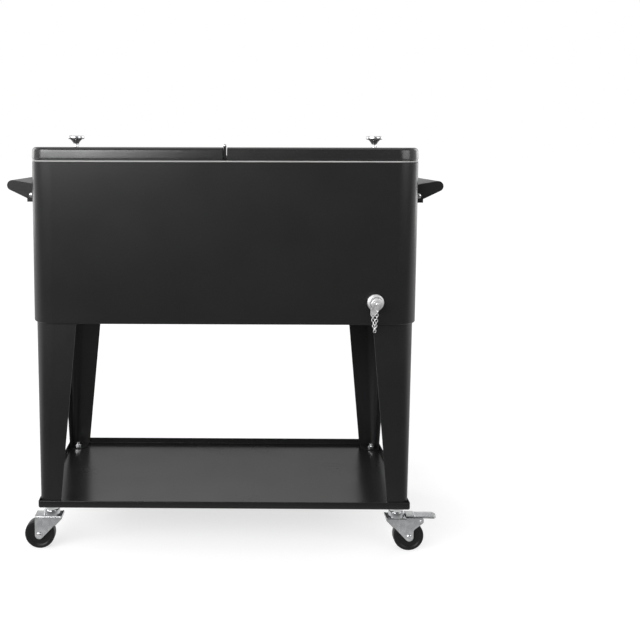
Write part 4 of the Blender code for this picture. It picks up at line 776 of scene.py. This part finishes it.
run = [(ear_x, -ear_y)]
run += arc_points((bend_x, bracket_bend - ear_y), bracket_bend, -math.pi / 2, -math.pi, 5)
run += arc_points((bend_x, ear_y - bracket_bend), bracket_bend, math.pi, math.pi / 2, 5)
run.append((ear_x, ear_y))
run = [(x, y + middle_y) for x, y in run]
bolt_head = 0.0052
bolt_radius = 0.0030
bolt_nut = 0.0040
bolt_chamfer = 0.0004
bolt_rim = 0.0007
bolt_dome = 0.0025
bolt_seat = handle_half + clear
bolt_end = handle_half - handle_wall - clear - bracket_wall - clear
bolt_profile = [(0, bolt_end - bolt_nut), (bolt_head - bolt_chamfer, bolt_end - bolt_nut),
                (bolt_head, bolt_end - bolt_nut + bolt_chamfer), (bolt_head, bolt_end), (bolt_radius, bolt_end),
                (bolt_radius, bolt_seat), (bolt_head, bolt_seat)]
bolt_profile += dome(bolt_head, bolt_seat + bolt_rim, bolt_dome)
for side, hand in hands:
    bm = extrude(bent_strip(grip, handle_wall), middle_y - handle_half + grip_play,
                 middle_y + handle_half - grip_play)
    for end in (-1, 1):
        add(bm, extrude(cheek, middle_y + end * handle_half, middle_y + end * (handle_half - handle_wall)))
    fit(mirrored(bm, side), f"side_handle_{hand}", frame_coat, "cart", f"handle_{hand}",
        handle_soft)
    bracket_low, bracket_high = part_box(f"handle_bracket_{hand}")
    bm = extrude(bent_strip(run, bracket_wall), bracket_low.z, bracket_high.z, "Z")
    fit(mirrored(bm, side), f"handle_bracket_plate_{hand}", frame_coat, "cart",
        f"handle_bracket_{hand}", bracket_soft)
    for end, place in ends:
        bolt_mid = middle_of(f"handle_bolt_{hand}_{place}")
        bm = turned([(radius, -end * height) for radius, height in bolt_profile], 40, "Y",
                    (bolt_mid.x, middle_y, bolt_mid.z))
        fit(bm, f"domed_bolt_{hand}_{place}", screw_steel, "cart",
            f"handle_bolt_{hand}_{place}")

# Legs: sheet steel bent round the corner and tapered to the foot, with a plate welded in at each end.
# Black coat; the foot plate sits on the shelf and the caster's stud comes up through it.
leg_wall = 0.0016
leg_plate = 0.002
leg_plate_share = 0.97
leg_plate_cut = 0.30
shelf_low, shelf_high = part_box("shelf_tray")
shelf_half_x = (shelf_high.x - shelf_low.x) / 2
shelf_half_y = (shelf_high.y - shelf_low.y) / 2
hem_width = 0.0022
leg_gap = 0.0020
leg_inset = 0.005
leg_corner_steps = 16
# Half length and depth over the legs, width of the L and radius of its corner, at the foot and the top.
foot_size = (shelf_half_x - hem_width - leg_gap / 2, shelf_half_y - hem_width - leg_gap / 2, 0.041, 0.014)
top_size = (half_length - leg_inset, half_depth - leg_inset, 0.0845, 0.043)


def leg_section(half_x, half_y, width, radius, z):
    """The L section of the right-hand front leg, with its round outer corner and soft sheet edges."""
    corner = (half_x - radius, radius - half_y)
    soft = leg_wall / 3
    ring = [(half_x - width, soft - half_y), (half_x - width + soft, -half_y)]
    ring += arc_points(corner, radius, -math.pi / 2, 0, leg_corner_steps)
    ring += [(half_x, width - half_y - soft), (half_x - soft, width - half_y),
             (half_x - leg_wall, width - half_y)]
    ring += arc_points(corner, radius - leg_wall, 0, -math.pi / 2, leg_corner_steps)
    ring.append((half_x - width, leg_wall - half_y))
    return [(x, y + middle_y, z) for x, y in ring]


def leg_plate_mesh(half_x, half_y, width, radius, low):
    """The flat plate that fills a leg's corner."""
    far_x = half_x - leg_wall / 2
    far_y = half_y - leg_wall / 2
    side = width * leg_plate_share
    chamfer = side * leg_plate_cut
    outline = [(half_x - side, -far_y)]
    outline += arc_points((half_x - radius, radius - half_y), radius - leg_wall / 2, -math.pi / 2, 0, 12)
    outline += [(far_x, side - half_y), (half_x - side + chamfer, side - half_y),
                (half_x - side, side - half_y - chamfer)]
    return extrude([(x, y + middle_y) for x, y in outline], low, low + leg_plate, "Z")


corners = [(end, side, f"{place}_{hand}") for end, place in ends for side, hand in hands]
for end, side, name in corners:
    leg_low, leg_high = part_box(f"leg_{name}")
    bm = skin([leg_section(*foot_size, leg_low.z), leg_section(*top_size, leg_high.z)])
    add(bm, leg_plate_mesh(*foot_size, leg_low.z))
    add(bm, leg_plate_mesh(*top_size, leg_high.z - leg_plate))
    fit(mirrored(bm, side, end), f"leg_sheet_{name}", frame_coat, "cart", f"leg_{name}")

# Shelf: a shallow tray pressed from one sheet, its rim folded in and down. Smooth, glossier coat, in
# which the pale room behind shows as a soft sheen.
tray_coat = coat("tray_coat", 0.0115, (0.20, 0.28), 0.12)
shelf_fillet = 0.003
shelf_corner = 0.0045
shelf_fold_depth = 0.0034
shelf_fold_steps = 8
fold_radius = hem_width / 2


def shelf_ring(inset, z):
    """A ring round the shelf, drawn in from its outside."""
    return rounded_ring(shelf_half_x - inset, shelf_half_y - inset, shelf_corner - inset, z, 8)


tray_rings = [shelf_ring(drawn, shelf_low.z + up) for drawn, up in fillet(shelf_fillet)]
tray_rings += [shelf_ring(x, z) for x, z in arc_points((fold_radius, shelf_high.z - fold_radius), fold_radius,
                                                       math.pi, 0, shelf_fold_steps)]
tray_rings += [shelf_ring(inset, shelf_high.z - shelf_fold_depth) for inset in (hem_width, sheet)]
tray_rings += [shelf_ring(sheet + drawn, shelf_low.z + sheet + up)
               for drawn, up in reversed(fillet(shelf_fillet - sheet))]
fit(skin(tray_rings), "tray_sheet", tray_coat, "cart", "shelf_tray")

# Casters: bright zinc. A square plate with its stud and upper race is nutted up through the shelf and
# the leg's foot. The pressed fork hangs from it on a king pin between two races.
zinc = finished("zinc", turned_finish, [(0.68, 0.69, 0.70), (0.50, 0.51, 0.52)], (0.17, 0.30),
                {"Patch Size": 90.0, "Scratch Depth": 0.25}, Metallic=1.0)
race_zinc = metal("race_zinc", (0.90, 0.91), (0.80, 0.81), (0.16, 0.26), Patch_Size=90.0)
wheel_black = finished("wheel_black", moulded_finish, [(0.008, 0.008, 0.008), (0.011, 0.011, 0.011)],
                       (0.32, 0.44), {"Grain Depth": 0.20}, Specular_IOR_Level=0.24)
stud_radius = 0.004
stud_reach = 0.016
stud_chamfer = 0.0006
plate_half = 0.020
plate_corner = 0.006
plate_thickness = 0.003
race_radii = (0.0165, 0.0145)
race_height = 0.0105
race_overlap = 0.0005
running_gap = 0.0004
dish_height = 0.012
crown_thickness = 0.0025
king_pin = 0.0045
king_head = 0.0085
caster_foot = shelf_low.z
plate_low = -clear - plate_thickness
race_low = plate_low - race_height
crown_low = race_low - running_gap - dish_height - crown_thickness
fork_gap = 0.026
fork_wall = 0.002
fork_tip = 0.0085
fork_inner = 0.020
trail = 0.0245
wheel_radius = 0.0305
axle_z = wheel_radius - caster_foot


def caster_piece(bm, name, body, node, side, corner, material, soft=0.0):
    """Turns a mesh built about the swivel into a piece of the caster at that corner."""
    place = middle_of(f"caster_plate_{corner}")
    place.z = caster_foot
    turned_by = Matrix.Rotation(0 if side > 0 else math.pi, 4, "Z")
    bmesh.ops.transform(bm, matrix=Matrix.Translation(place) @ turned_by, verts=bm.verts)
    fit(bm, f"{name}_{corner}", material, body, f"{node}_{corner}", soft)


def base_mesh():
    """The square plate with its stud above, and the upper race and the king pin's head below."""
    bm = extrude(round_cornered(plate_half, plate_half, plate_corner, 6), plate_low, -clear, "Z")
    in_plate = plate_low + plate_thickness / 2
    head_top = crown_low - running_gap
    profile = [(0, stud_reach), (stud_radius - stud_chamfer, stud_reach),
               (stud_radius, stud_reach - stud_chamfer), (stud_radius, in_plate), (race_radii[0], in_plate)]
    profile += dome(race_radii[0], plate_low, -race_height, race_radii[1], 6)
    profile += [(king_pin, race_low), (king_pin, head_top), (king_head, head_top),
                (king_head - 0.0007, head_top - 0.0022), (0.0050, head_top - 0.003), (0, head_top - 0.003)]
    return add(bm, turned(profile, 48))


fork_bend = 0.0028
fork_soft = 0.0006
base_soft = 0.0003
ear_reach = 0.053
ear_height = 0.015
rib_places = (0.0050, 0.0160)
rib_width = 0.0028
rib_height = 0.0010
rib_margin = 0.003
rib_steps = 14
web_length = 0.020
brake_crown_end = 0.0182
fork_outer = fork_gap / 2 + fork_wall
crown_top = crown_low + crown_thickness
fork_inner_low = (-fork_inner, crown_low - crown_thickness)
fork_touch = touch(fork_inner_low, (trail, axle_z), fork_tip, 1)
slant_end = (trail + fork_tip * math.cos(fork_touch), axle_z + fork_tip * math.sin(fork_touch))
slant = Vector((slant_end[0] - fork_inner_low[0], slant_end[1] - fork_inner_low[1])).normalized()
fold_away = Vector((slant.y, -slant.x)) * fork_wall
fold_end_x = -fork_inner - fork_wall
fold_corner = Vector(fork_inner_low) + fold_away
fold_corner += slant * ((fold_end_x - fold_corner.x) / slant.x)
fold_tip = Vector(fork_inner_low) + slant * web_length
fold_top = arc_points((fold_end_x + fork_wall, crown_top - fork_wall), fork_wall, math.pi / 2, math.pi, 6)
fold_outside = [*fold_top, tuple(fold_corner), tuple(fold_tip + fold_away), tuple(fold_tip)]


def cheek_outline(crown_end, brake):
    """The side of a fork: slanted inner edge, round tip, and an ear for the pedal if it has a brake."""
    outer_x = trail + fork_tip
    outline = [(-fork_inner, crown_top - fork_bend), (-fork_inner, crown_top), *fold_outside]
    outline += arc_points((trail, axle_z), fork_tip, fork_touch, math.tau, 24)
    if brake:
        ear_low = crown_top - ear_height
        ear_root = ear_low - (ear_reach - outer_x) / 2
        outline += [(outer_x, ear_root - 0.002), (outer_x + 0.0015, ear_root + 0.001)]
        outline += arc_points((ear_reach - 0.004, ear_low + 0.0075), 0.004, -0.9, 0, 8)
        outline += arc_points((ear_reach - 0.003, crown_top - 0.003), 0.003, 0, math.pi / 2, 8)
        outline.append((crown_end, crown_top))
    outline.append((crown_end, crown_top - fork_bend))
    return outline


def ridge_mesh(x, low, high, face, out):
    """A pressed rib: a half-round ridge along the cheek that fades out at its foot."""
    half = rib_width / 2
    rings = []
    for i in range(rib_steps + 1):
        share = i / rib_steps
        rise = rib_height * min(1, math.sin(min(share * 5, 1) * math.pi / 2))
        ring = [(x - half, face - out * fork_wall / 3), (x + half, face - out * fork_wall / 3)]
        ring += [(x + half * math.cos(a), face + out * rise * math.sin(a) ** 1.3)
                 for a in [math.pi * k / 10 for k in range(11)]]
        rings.append([(px, py, low + (high - low) * share) for px, py in ring])
    return skin(rings)


def fork_mesh(brake):
    """Crown and cheeks bent from one sheet, the fold that closes the slanted side, ribs and race."""
    crown_end = brake_crown_end if brake else trail + fork_tip
    bend = fork_bend - fork_wall / 2
    run = arc_points((bend + fork_wall / 2 - fork_outer, crown_top - fork_bend), bend, math.pi, math.pi / 2, 8)
    run += [(-y, z) for y, z in run[::-1]]
    bm = extrude(bent_strip(run, fork_wall), -fork_inner, crown_end, "X")
    inside = fork_wall / 2 - fork_inner
    fold = [(inside, crown_top), *fold_outside, (inside, crown_top - fork_wall)]
    add(bm, extrude(fold, fork_wall / 2 - fork_outer, fork_outer - fork_wall / 2))
    slope = slant.y / slant.x
    for side in (-1, 1):
        add(bm, extrude(cheek_outline(crown_end, brake), side * (fork_outer - fork_wall), side * fork_outer))
        for place in rib_places:
            low = fork_inner_low[1] + slope * (place + rib_width / 2 - fork_inner_low[0]) + rib_margin
            add(bm, ridge_mesh(place, low, crown_top - fork_bend, side * fork_outer, side))
    race_foot = crown_top - race_overlap
    profile = [(0, race_foot), (race_radii[0], race_foot)]
    profile += dome(race_radii[0], crown_top, dish_height, race_radii[1], 6) + [(0, crown_top + dish_height)]
    return add(bm, turned(profile, 48))


def wheel_mesh():
    """The wheel: a hub, a dished face and a round-edged tread."""
    half = 0.011
    edge = 0.0045
    face = half - 0.0025
    hub = 0.01225
    side = [(0.0038, hub), (0.0092, hub), (0.0100, hub - 0.0006), (0.0112, face + 0.0012), (0.0125, face),
            (0.0205, face), (0.0225, face + 0.0008), (0.0236, half - 0.0004), (0.0246, half)]
    side += arc_points((wheel_radius - edge, half - edge), edge, math.pi / 2, 0, 8)
    return turned(both_ways(side), 96, "Y", (trail, 0, axle_z))


def axle_mesh():
    """The axle rivet with its two flat domed heads."""
    seat = fork_outer + clear
    side = [(0, seat + 0.0016), (0.0016, seat + 0.0022), (0.0034, seat + 0.0021), (0.0050, seat + 0.0014),
            (0.0058, seat + 0.0006), (0.0058, seat), (0.0035, seat)]
    return turned(both_ways(side), 48, "Y", (trail, 0, axle_z))


for end, side, name in corners:
    swivel = f"swivel_{name}"
    caster_piece(base_mesh(), "caster_base", "cart", "caster_plate", side, name, race_zinc, base_soft)
    caster_piece(fork_mesh(side > 0), "fork_sheet", swivel, "caster_fork", side, name, zinc, fork_soft)
    caster_piece(axle_mesh(), "axle_rivet", swivel, "caster_axle", side, name, screw_steel)
    caster_piece(wheel_mesh(), "wheel_moulding", f"wheel_{name}", "caster_wheel", side, name, wheel_black)

# Nuts on the studs, over the foot plates: hexagonal with turned corners, steel with bright zinc.
# Each clamps the leg's foot and the shelf down on its caster's plate.
nut_radius = 0.0072
nut_bore = 0.0043
nut_chamfer = 0.0006
nut_steps = 36
nut_turned = 0.90


def nut_ring(centre, radius, z, limit):
    """A ring of the nut: a hexagon, cut round at the given share of its radius; 0 gives the bore."""
    ring = []
    for a in turn_angles(nut_steps):
        flat = math.cos(math.pi / 6) / math.cos((a % (math.pi / 3)) - math.pi / 6)
        reach = radius * (min(flat, limit) if limit else 1)
        ring.append((centre.x + reach * math.cos(a), centre.y + reach * math.sin(a), z))
    return ring


for end, side, name in corners:
    nut_low, nut_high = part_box(f"caster_nut_{name}")
    nut_mid = middle_of(f"caster_nut_{name}")
    nut_rings = [nut_ring(nut_mid, nut_bore, nut_low.z, 0)]
    nut_rings += [nut_ring(nut_mid, nut_radius, z, limit) for z, limit in (
        (nut_low.z, nut_turned), (nut_low.z + nut_chamfer, 1), (nut_high.z - nut_chamfer, 1),
        (nut_high.z, nut_turned))]
    nut_rings.append(nut_ring(nut_mid, nut_bore, nut_high.z, 0))
    fit(skin(nut_rings, "joined"), f"hex_nut_{name}", zinc, "cart", f"caster_nut_{name}", smooth=25)

# Brake pedals on the right-hand casters: a pressed tread with turned-down lips, on a cross pin
# through the fork's ears, with a small block that bears on the wheel. Bright zinc.
pedal_pivot_x = 0.048
pedal_pivot_z = crown_top - 0.0065
pedal_half = 0.012
pedal_wall = 0.0018
pedal_start = 0.0185 - pedal_pivot_x
pedal_end = 0.080 - pedal_pivot_x
pedal_step_start = 0.0340 - pedal_pivot_x
pedal_step_end = 0.0375 - pedal_pivot_x
pedal_step = 0.0014
pedal_low = 0.0065 + 0.0012
pedal_top = pedal_low + pedal_wall
pedal_lip = 0.0035
pedal_cut = 0.006
pedal_bend = 0.0014
pedal_eye = (pedal_end - 0.0085, 0.0019)
boss_radius = 0.005
shoe_thickness = 0.0044
shoe_half = 0.008
shoe_lean = 0.25


def tread_ring(inset):
    """The tread's outline seen from above: a strip with its far corners cut off."""
    half = pedal_half - inset
    end = pedal_end - inset
    cut = pedal_cut - inset * 0.6
    near = pedal_start + inset
    ring = [(near, -half), (near + 0.001, -half), (end - cut - 0.0015, -half),
            (end - cut + 0.001, 0.0004 - half), (end - 0.0012, cut - half - 0.0012), (end, cut - half + 0.001)]
    return ring + [(x, -y) for x, y in ring[::-1]]


def fill_between(bm, rings):
    """Flat faces between an outline and the holes in it."""
    edges = []
    for ring in rings:
        for a, b in zip(ring, ring[1:] + ring[:1]):
            edges.append(bm.edges.get((a, b)) or bm.edges.new((a, b)))
    bmesh.ops.triangle_fill(bm, edges=edges, use_beauty=True)


def tread_mesh():
    """The tread: a pressed tray turned upside down, raised over the fork, with an eye near its end."""
    outer = tread_ring(0)
    foot = []
    for x, y in outer:
        share = (x - pedal_start) / (pedal_end - pedal_start)
        lip = 0 if x < pedal_start + 0.0005 else pedal_lip * (1 + share) / 2
        foot.append(pedal_low - lip)

    def ring_at(ring, heights):
        return [(x, y, z) for (x, y), z in zip(ring, heights)]

    count = len(outer)
    rings = [ring_at(tread_ring(pedal_wall), heights) for heights in ([pedal_low] * count, foot)]
    rings.append(ring_at(outer, foot))
    rings += [ring_at(tread_ring(pedal_bend - across), [pedal_top - pedal_bend + rise] * count)
              for across, rise in arc_points((0, 0), pedal_bend, 0, math.pi / 2, 5)]
    bm = skin(rings, "left")
    eye_x, eye_radius = pedal_eye
    eye = [(eye_x + x, y) for x, y in arc_points((0, 0), eye_radius, 0, math.tau, 20)[:-1]]
    add(bm, skin([[(x, y, z) for x, y in eye] for z in (pedal_low, pedal_top)], "left"))
    bm.verts.ensure_lookup_table()
    verts = list(bm.verts)
    fill_between(bm, (verts[count * 8:count * 9], verts[-20:]))
    fill_between(bm, (verts[:count], verts[-40:-20]))
    for i in range(6):
        at = pedal_step_start + (pedal_step_end - pedal_step_start) * i / 5
        everything = [*bm.verts, *bm.edges, *bm.faces]
        bmesh.ops.bisect_plane(bm, geom=everything, plane_co=(at, 0, 0), plane_no=(1, 0, 0))
    for vert in bm.verts:
        share = min(max((pedal_step_end - vert.co.x) / (pedal_step_end - pedal_step_start), 0), 1)
        vert.co.z += pedal_step * share * share * (3 - 2 * share)
    bmesh.ops.recalc_face_normals(bm, faces=bm.faces)
    return bm


def pedal_mesh():
    """Tread, two round lugs for the cross pin, and the block that bears on the wheel."""
    bm = tread_mesh()
    boss_top = pedal_top - pedal_wall / 2
    boss_side = [(boss_radius, boss_top), (-boss_radius, boss_top)]
    boss_side += arc_points((0, 0), boss_radius, math.pi, math.tau, 16)
    for side in (-1, 1):
        add(bm, extrude(boss_side, side * (pedal_half - pedal_wall), side * (pedal_half - 0.0002)))
    cross_pin = [(0, fork_outer + 0.0012), (0.0014, fork_outer + 0.0011), (0.0027, fork_outer + 0.0007),
                 (0.0033, fork_outer + 0.0001), (0.0022, fork_outer + 0.0001)]
    add(bm, turned(both_ways(cross_pin), 32, "Y"))
    wheel_at = Vector((trail - pedal_pivot_x, axle_z - pedal_pivot_z))
    lean = math.atan2(wheel_at.y, wheel_at.x) + shoe_lean
    length = wheel_at.length - wheel_radius - shoe_thickness / 2
    shoe = bent_strip([(0, 0), (length * math.cos(lean), length * math.sin(lean))], shoe_thickness)
    add(bm, extrude(shoe, -shoe_half, shoe_half))
    bmesh.ops.translate(bm, vec=(pedal_pivot_x, 0, pedal_pivot_z), verts=bm.verts)
    return bm


for end, side, name in corners:
    if side > 0:
        caster_piece(pedal_mesh(), "pedal_sheet", f"pedal_{name}", "brake_pedal", side, name, zinc,
                     fork_soft)

# Drain: a turned flange and neck through the wall, held by a plastic nut inside the tub. A fluted cap
# screws on the neck. A strap between flange and cap and a tab riveted to the cap hold the chain; all
# of these are plated in dull nickel.
nickel = metal("nickel", (0.90, 0.90), (0.82, 0.82), (0.46, 0.58))
drain_x = half_length - 0.0865
drain_z = shell_low.z + 0.0449
drain_front = middle_y - half_depth
drain_centre = (drain_x, drain_front, drain_z)
plate_sheet = 0.0012
drain_bore = 0.0045
tail_radius = 0.0075
tail_reach = 0.0070
flange_radius = 0.0165
flange_rim = 0.0010
flange_dome = 0.0032
flange_slope = 0.0055
neck_outside = 0.0082
cap_height = 0.0125
cap_top_thickness = 0.0026
flange_out = clear + flange_rim + flange_dome
strap_start = flange_out + clear
strap_end = strap_start + plate_sheet
cap_start = strap_end + clear
cap_end = cap_start + cap_height
cup_end = cap_end - cap_top_thickness
neck_end = cup_end - running_gap
tail_end = -liner_inset - clear - tail_reach
dress(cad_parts["drain_nut"], liner_plastic)
tube_profile = [(drain_bore, tail_end), (tail_radius - clear, tail_end), (tail_radius, tail_end + 0.0004),
                (tail_radius, clear), (flange_radius - 0.0002, clear), (flange_radius, clear + 0.0003)]
tube_profile += dome(flange_radius, clear + flange_rim, flange_dome, flange_radius - flange_slope, 10)
tube_profile += [(neck_outside, flange_out), (neck_outside, neck_end - 0.0005),
                 (neck_outside - 0.0005, neck_end), (drain_bore, neck_end)]
fit(turned(tube_profile, 72, "Y", drain_centre), "drain_flange", nickel, "cart", "drain_body")

eye_radius = 0.0015
eye_margin = 0.0013
plate_soft = 0.0003
strap_turn = math.radians(13)
strap_radius = 0.0126
strap_hole = 0.0085
strap_drop = 0.0235
strap_ear = 0.0048
tab_radius = 0.0066
tab_drop = 0.0118
tab_ear = 0.0036


def eared_plate(radius, drop, ear_radius, hole, start, end):
    """A disc with a hanging ear, an eye in the ear and a hole in the middle, both cut through."""
    outline = arc_points((0, 0), radius, -math.pi / 4, math.pi * 5 / 4, 48)
    outline += arc_points((0, -drop), ear_radius, math.pi, math.tau, 20)
    eye_z = -(drop + ear_radius - eye_margin - eye_radius)
    rings = (outline, arc_points((0, 0), hole, 0, math.tau, 40)[:-1],
             arc_points((0, eye_z), eye_radius, 0, math.tau, 20)[:-1])
    bm = bmesh.new()
    fill_between(bm, [[bm.verts.new((x + drain_x, drain_front - start, z + drain_z)) for x, z in ring]
                      for ring in rings])
    made = bmesh.ops.extrude_face_region(bm, geom=list(bm.faces))["geom"]
    bmesh.ops.translate(bm, verts=[part for part in made if isinstance(part, bmesh.types.BMVert)],
                        vec=(0, start - end, 0))
    return bm


bm = eared_plate(strap_radius, strap_drop, strap_ear, strap_hole, strap_start, strap_end)
bmesh.ops.rotate(bm, cent=drain_centre, matrix=Matrix.Rotation(strap_turn, 3, "Y"), verts=bm.verts)
fit(bm, "chain_strap", nickel, "cart", "drain_strap", plate_soft)

flutes = 18
flute_depth = 0.0007
flute_steps = 8
flute_shape = 0.6
cap_radius = 0.0124
cap_hole = 0.0021
cap_foot_edge = 0.0008
cap_bore = 0.0085


def flute_ring(radius, depth, y):
    """A ring of soft flutes on the drain's axis."""
    ring = []
    for a in turn_angles(flutes * flute_steps):
        reach = radius - depth * (0.5 - 0.5 * math.cos(a * flutes)) ** flute_shape
        ring.append((drain_x + reach * math.sin(a), drain_front - y, drain_z + reach * math.cos(a)))
    return ring


cap_rings = [flute_ring(*values) for values in (
    (cap_hole, 0, cup_end), (cap_bore, 0, cup_end), (cap_bore, 0, cap_start),
    (cap_radius - cap_foot_edge, 0, cap_start), (cap_radius, flute_depth, cap_start + cap_foot_edge),
    (cap_radius, flute_depth, cap_end - 0.0026), (cap_radius - 0.0004, 0.0003, cap_end - 0.0014),
    (cap_radius - 0.0011, 0, cap_end - 0.0005), (cap_radius - 0.0022, 0, cap_end), (cap_hole, 0, cap_end))]
fit(skin(cap_rings, "joined"), "fluted_cap", nickel, "drain_plug", "drain_cap", smooth=40)

tab_start = cap_end + clear
tab_end = tab_start + plate_sheet
fit(eared_plate(tab_radius, tab_drop, tab_ear, cap_hole, tab_start, tab_end), "chain_tab", nickel,
    "drain_keeper", "drain_tab", plate_soft)
rivet_radius = 0.0018
rivet_foot = 0.0030
rivet_head = 0.0036
rivet_seat = tab_end + clear
rivet_low = cup_end - clear
rivet_profile = [(0, rivet_low - 0.0012), (rivet_foot, rivet_low - 0.0012), (rivet_foot, rivet_low),
                 (rivet_radius, rivet_low), (rivet_radius, rivet_seat), (rivet_head, rivet_seat)]
rivet_profile += dome(rivet_head, rivet_seat + 0.0003, 0.0019)
fit(turned(rivet_profile, 48, "Y", drain_centre), "cap_rivet", nickel, "drain_keeper", "drain_rivet")

# Chain: small oval links of round wire, each turned a quarter from the last, from the strap's eye
# down, round and up to the tab's eye.
wire_radius = 0.0008
link_width = 0.0066
link_length = 0.0078
link_play = 0.0003
link_steps = 28
wire_steps = 12
chain_drop = 0.058
route_steps = 400
link_half = link_width / 2 - wire_radius
link_reach = link_length / 2 - wire_radius
eye_inset = eye_radius + eye_margin
strap_hang = strap_drop + strap_ear - eye_inset
strap_eye = Vector((drain_x - strap_hang * math.sin(strap_turn), drain_front - (strap_start + strap_end) / 2,
                    drain_z - strap_hang * math.cos(strap_turn)))
tab_eye = Vector((drain_x, drain_front - (tab_start + tab_end) / 2, drain_z - tab_drop - tab_ear + eye_inset))
chain_start = strap_eye - Vector((0, 0, link_reach))
chain_end = tab_eye - Vector((0, 0, link_reach))
chain_foot = drain_z - chain_drop + link_length / 2
route = []
for i in range(route_steps + 1):
    share = i / route_steps
    depth = (chain_start.z if share < 0.5 else chain_end.z) - chain_foot
    point = chain_start.lerp(chain_end, (1 - math.cos(math.pi * share)) / 2)
    point.z = chain_foot + depth * abs(math.cos(math.pi * share)) ** 1.4
    route.append(point)
lengths = [0.0]
for a, b in zip(route, route[1:]):
    lengths.append(lengths[-1] + (b - a).length)
pitch = 2 * (link_reach - wire_radius) + link_play
gaps = 2 * max(1, math.floor(lengths[-1] / pitch / 2))
bm = bmesh.new()
for n in range(gaps + 1):
    at = lengths[-1] * n / gaps
    k = min(range(len(lengths)), key=lambda m: abs(lengths[m] - at))
    way = (route[min(k + 1, route_steps)] - route[max(k - 1, 0)]).normalized()
    flat = way.cross(Vector((1, 0, 0))).normalized()
    across = flat if n % 2 == 0 else flat.cross(way)
    normal = way.cross(across)
    rows = []
    for a in turn_angles(link_steps):
        reach = math.cos(a) * link_half + math.copysign(link_reach - link_half, math.cos(a))
        centre = route[k] + way * reach + across * (math.sin(a) * link_half)
        aim = (way * math.cos(a) + across * math.sin(a)).normalized()
        rows.append([centre + (aim * math.cos(b) + normal * math.sin(b)) * wire_radius
                     for b in turn_angles(wire_steps)])
    add(bm, skin(rows, "joined"))
chain = piece_from(bm, "chain_links", 60)
dress(chain, nickel)
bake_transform(chain)
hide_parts("drain_chain")
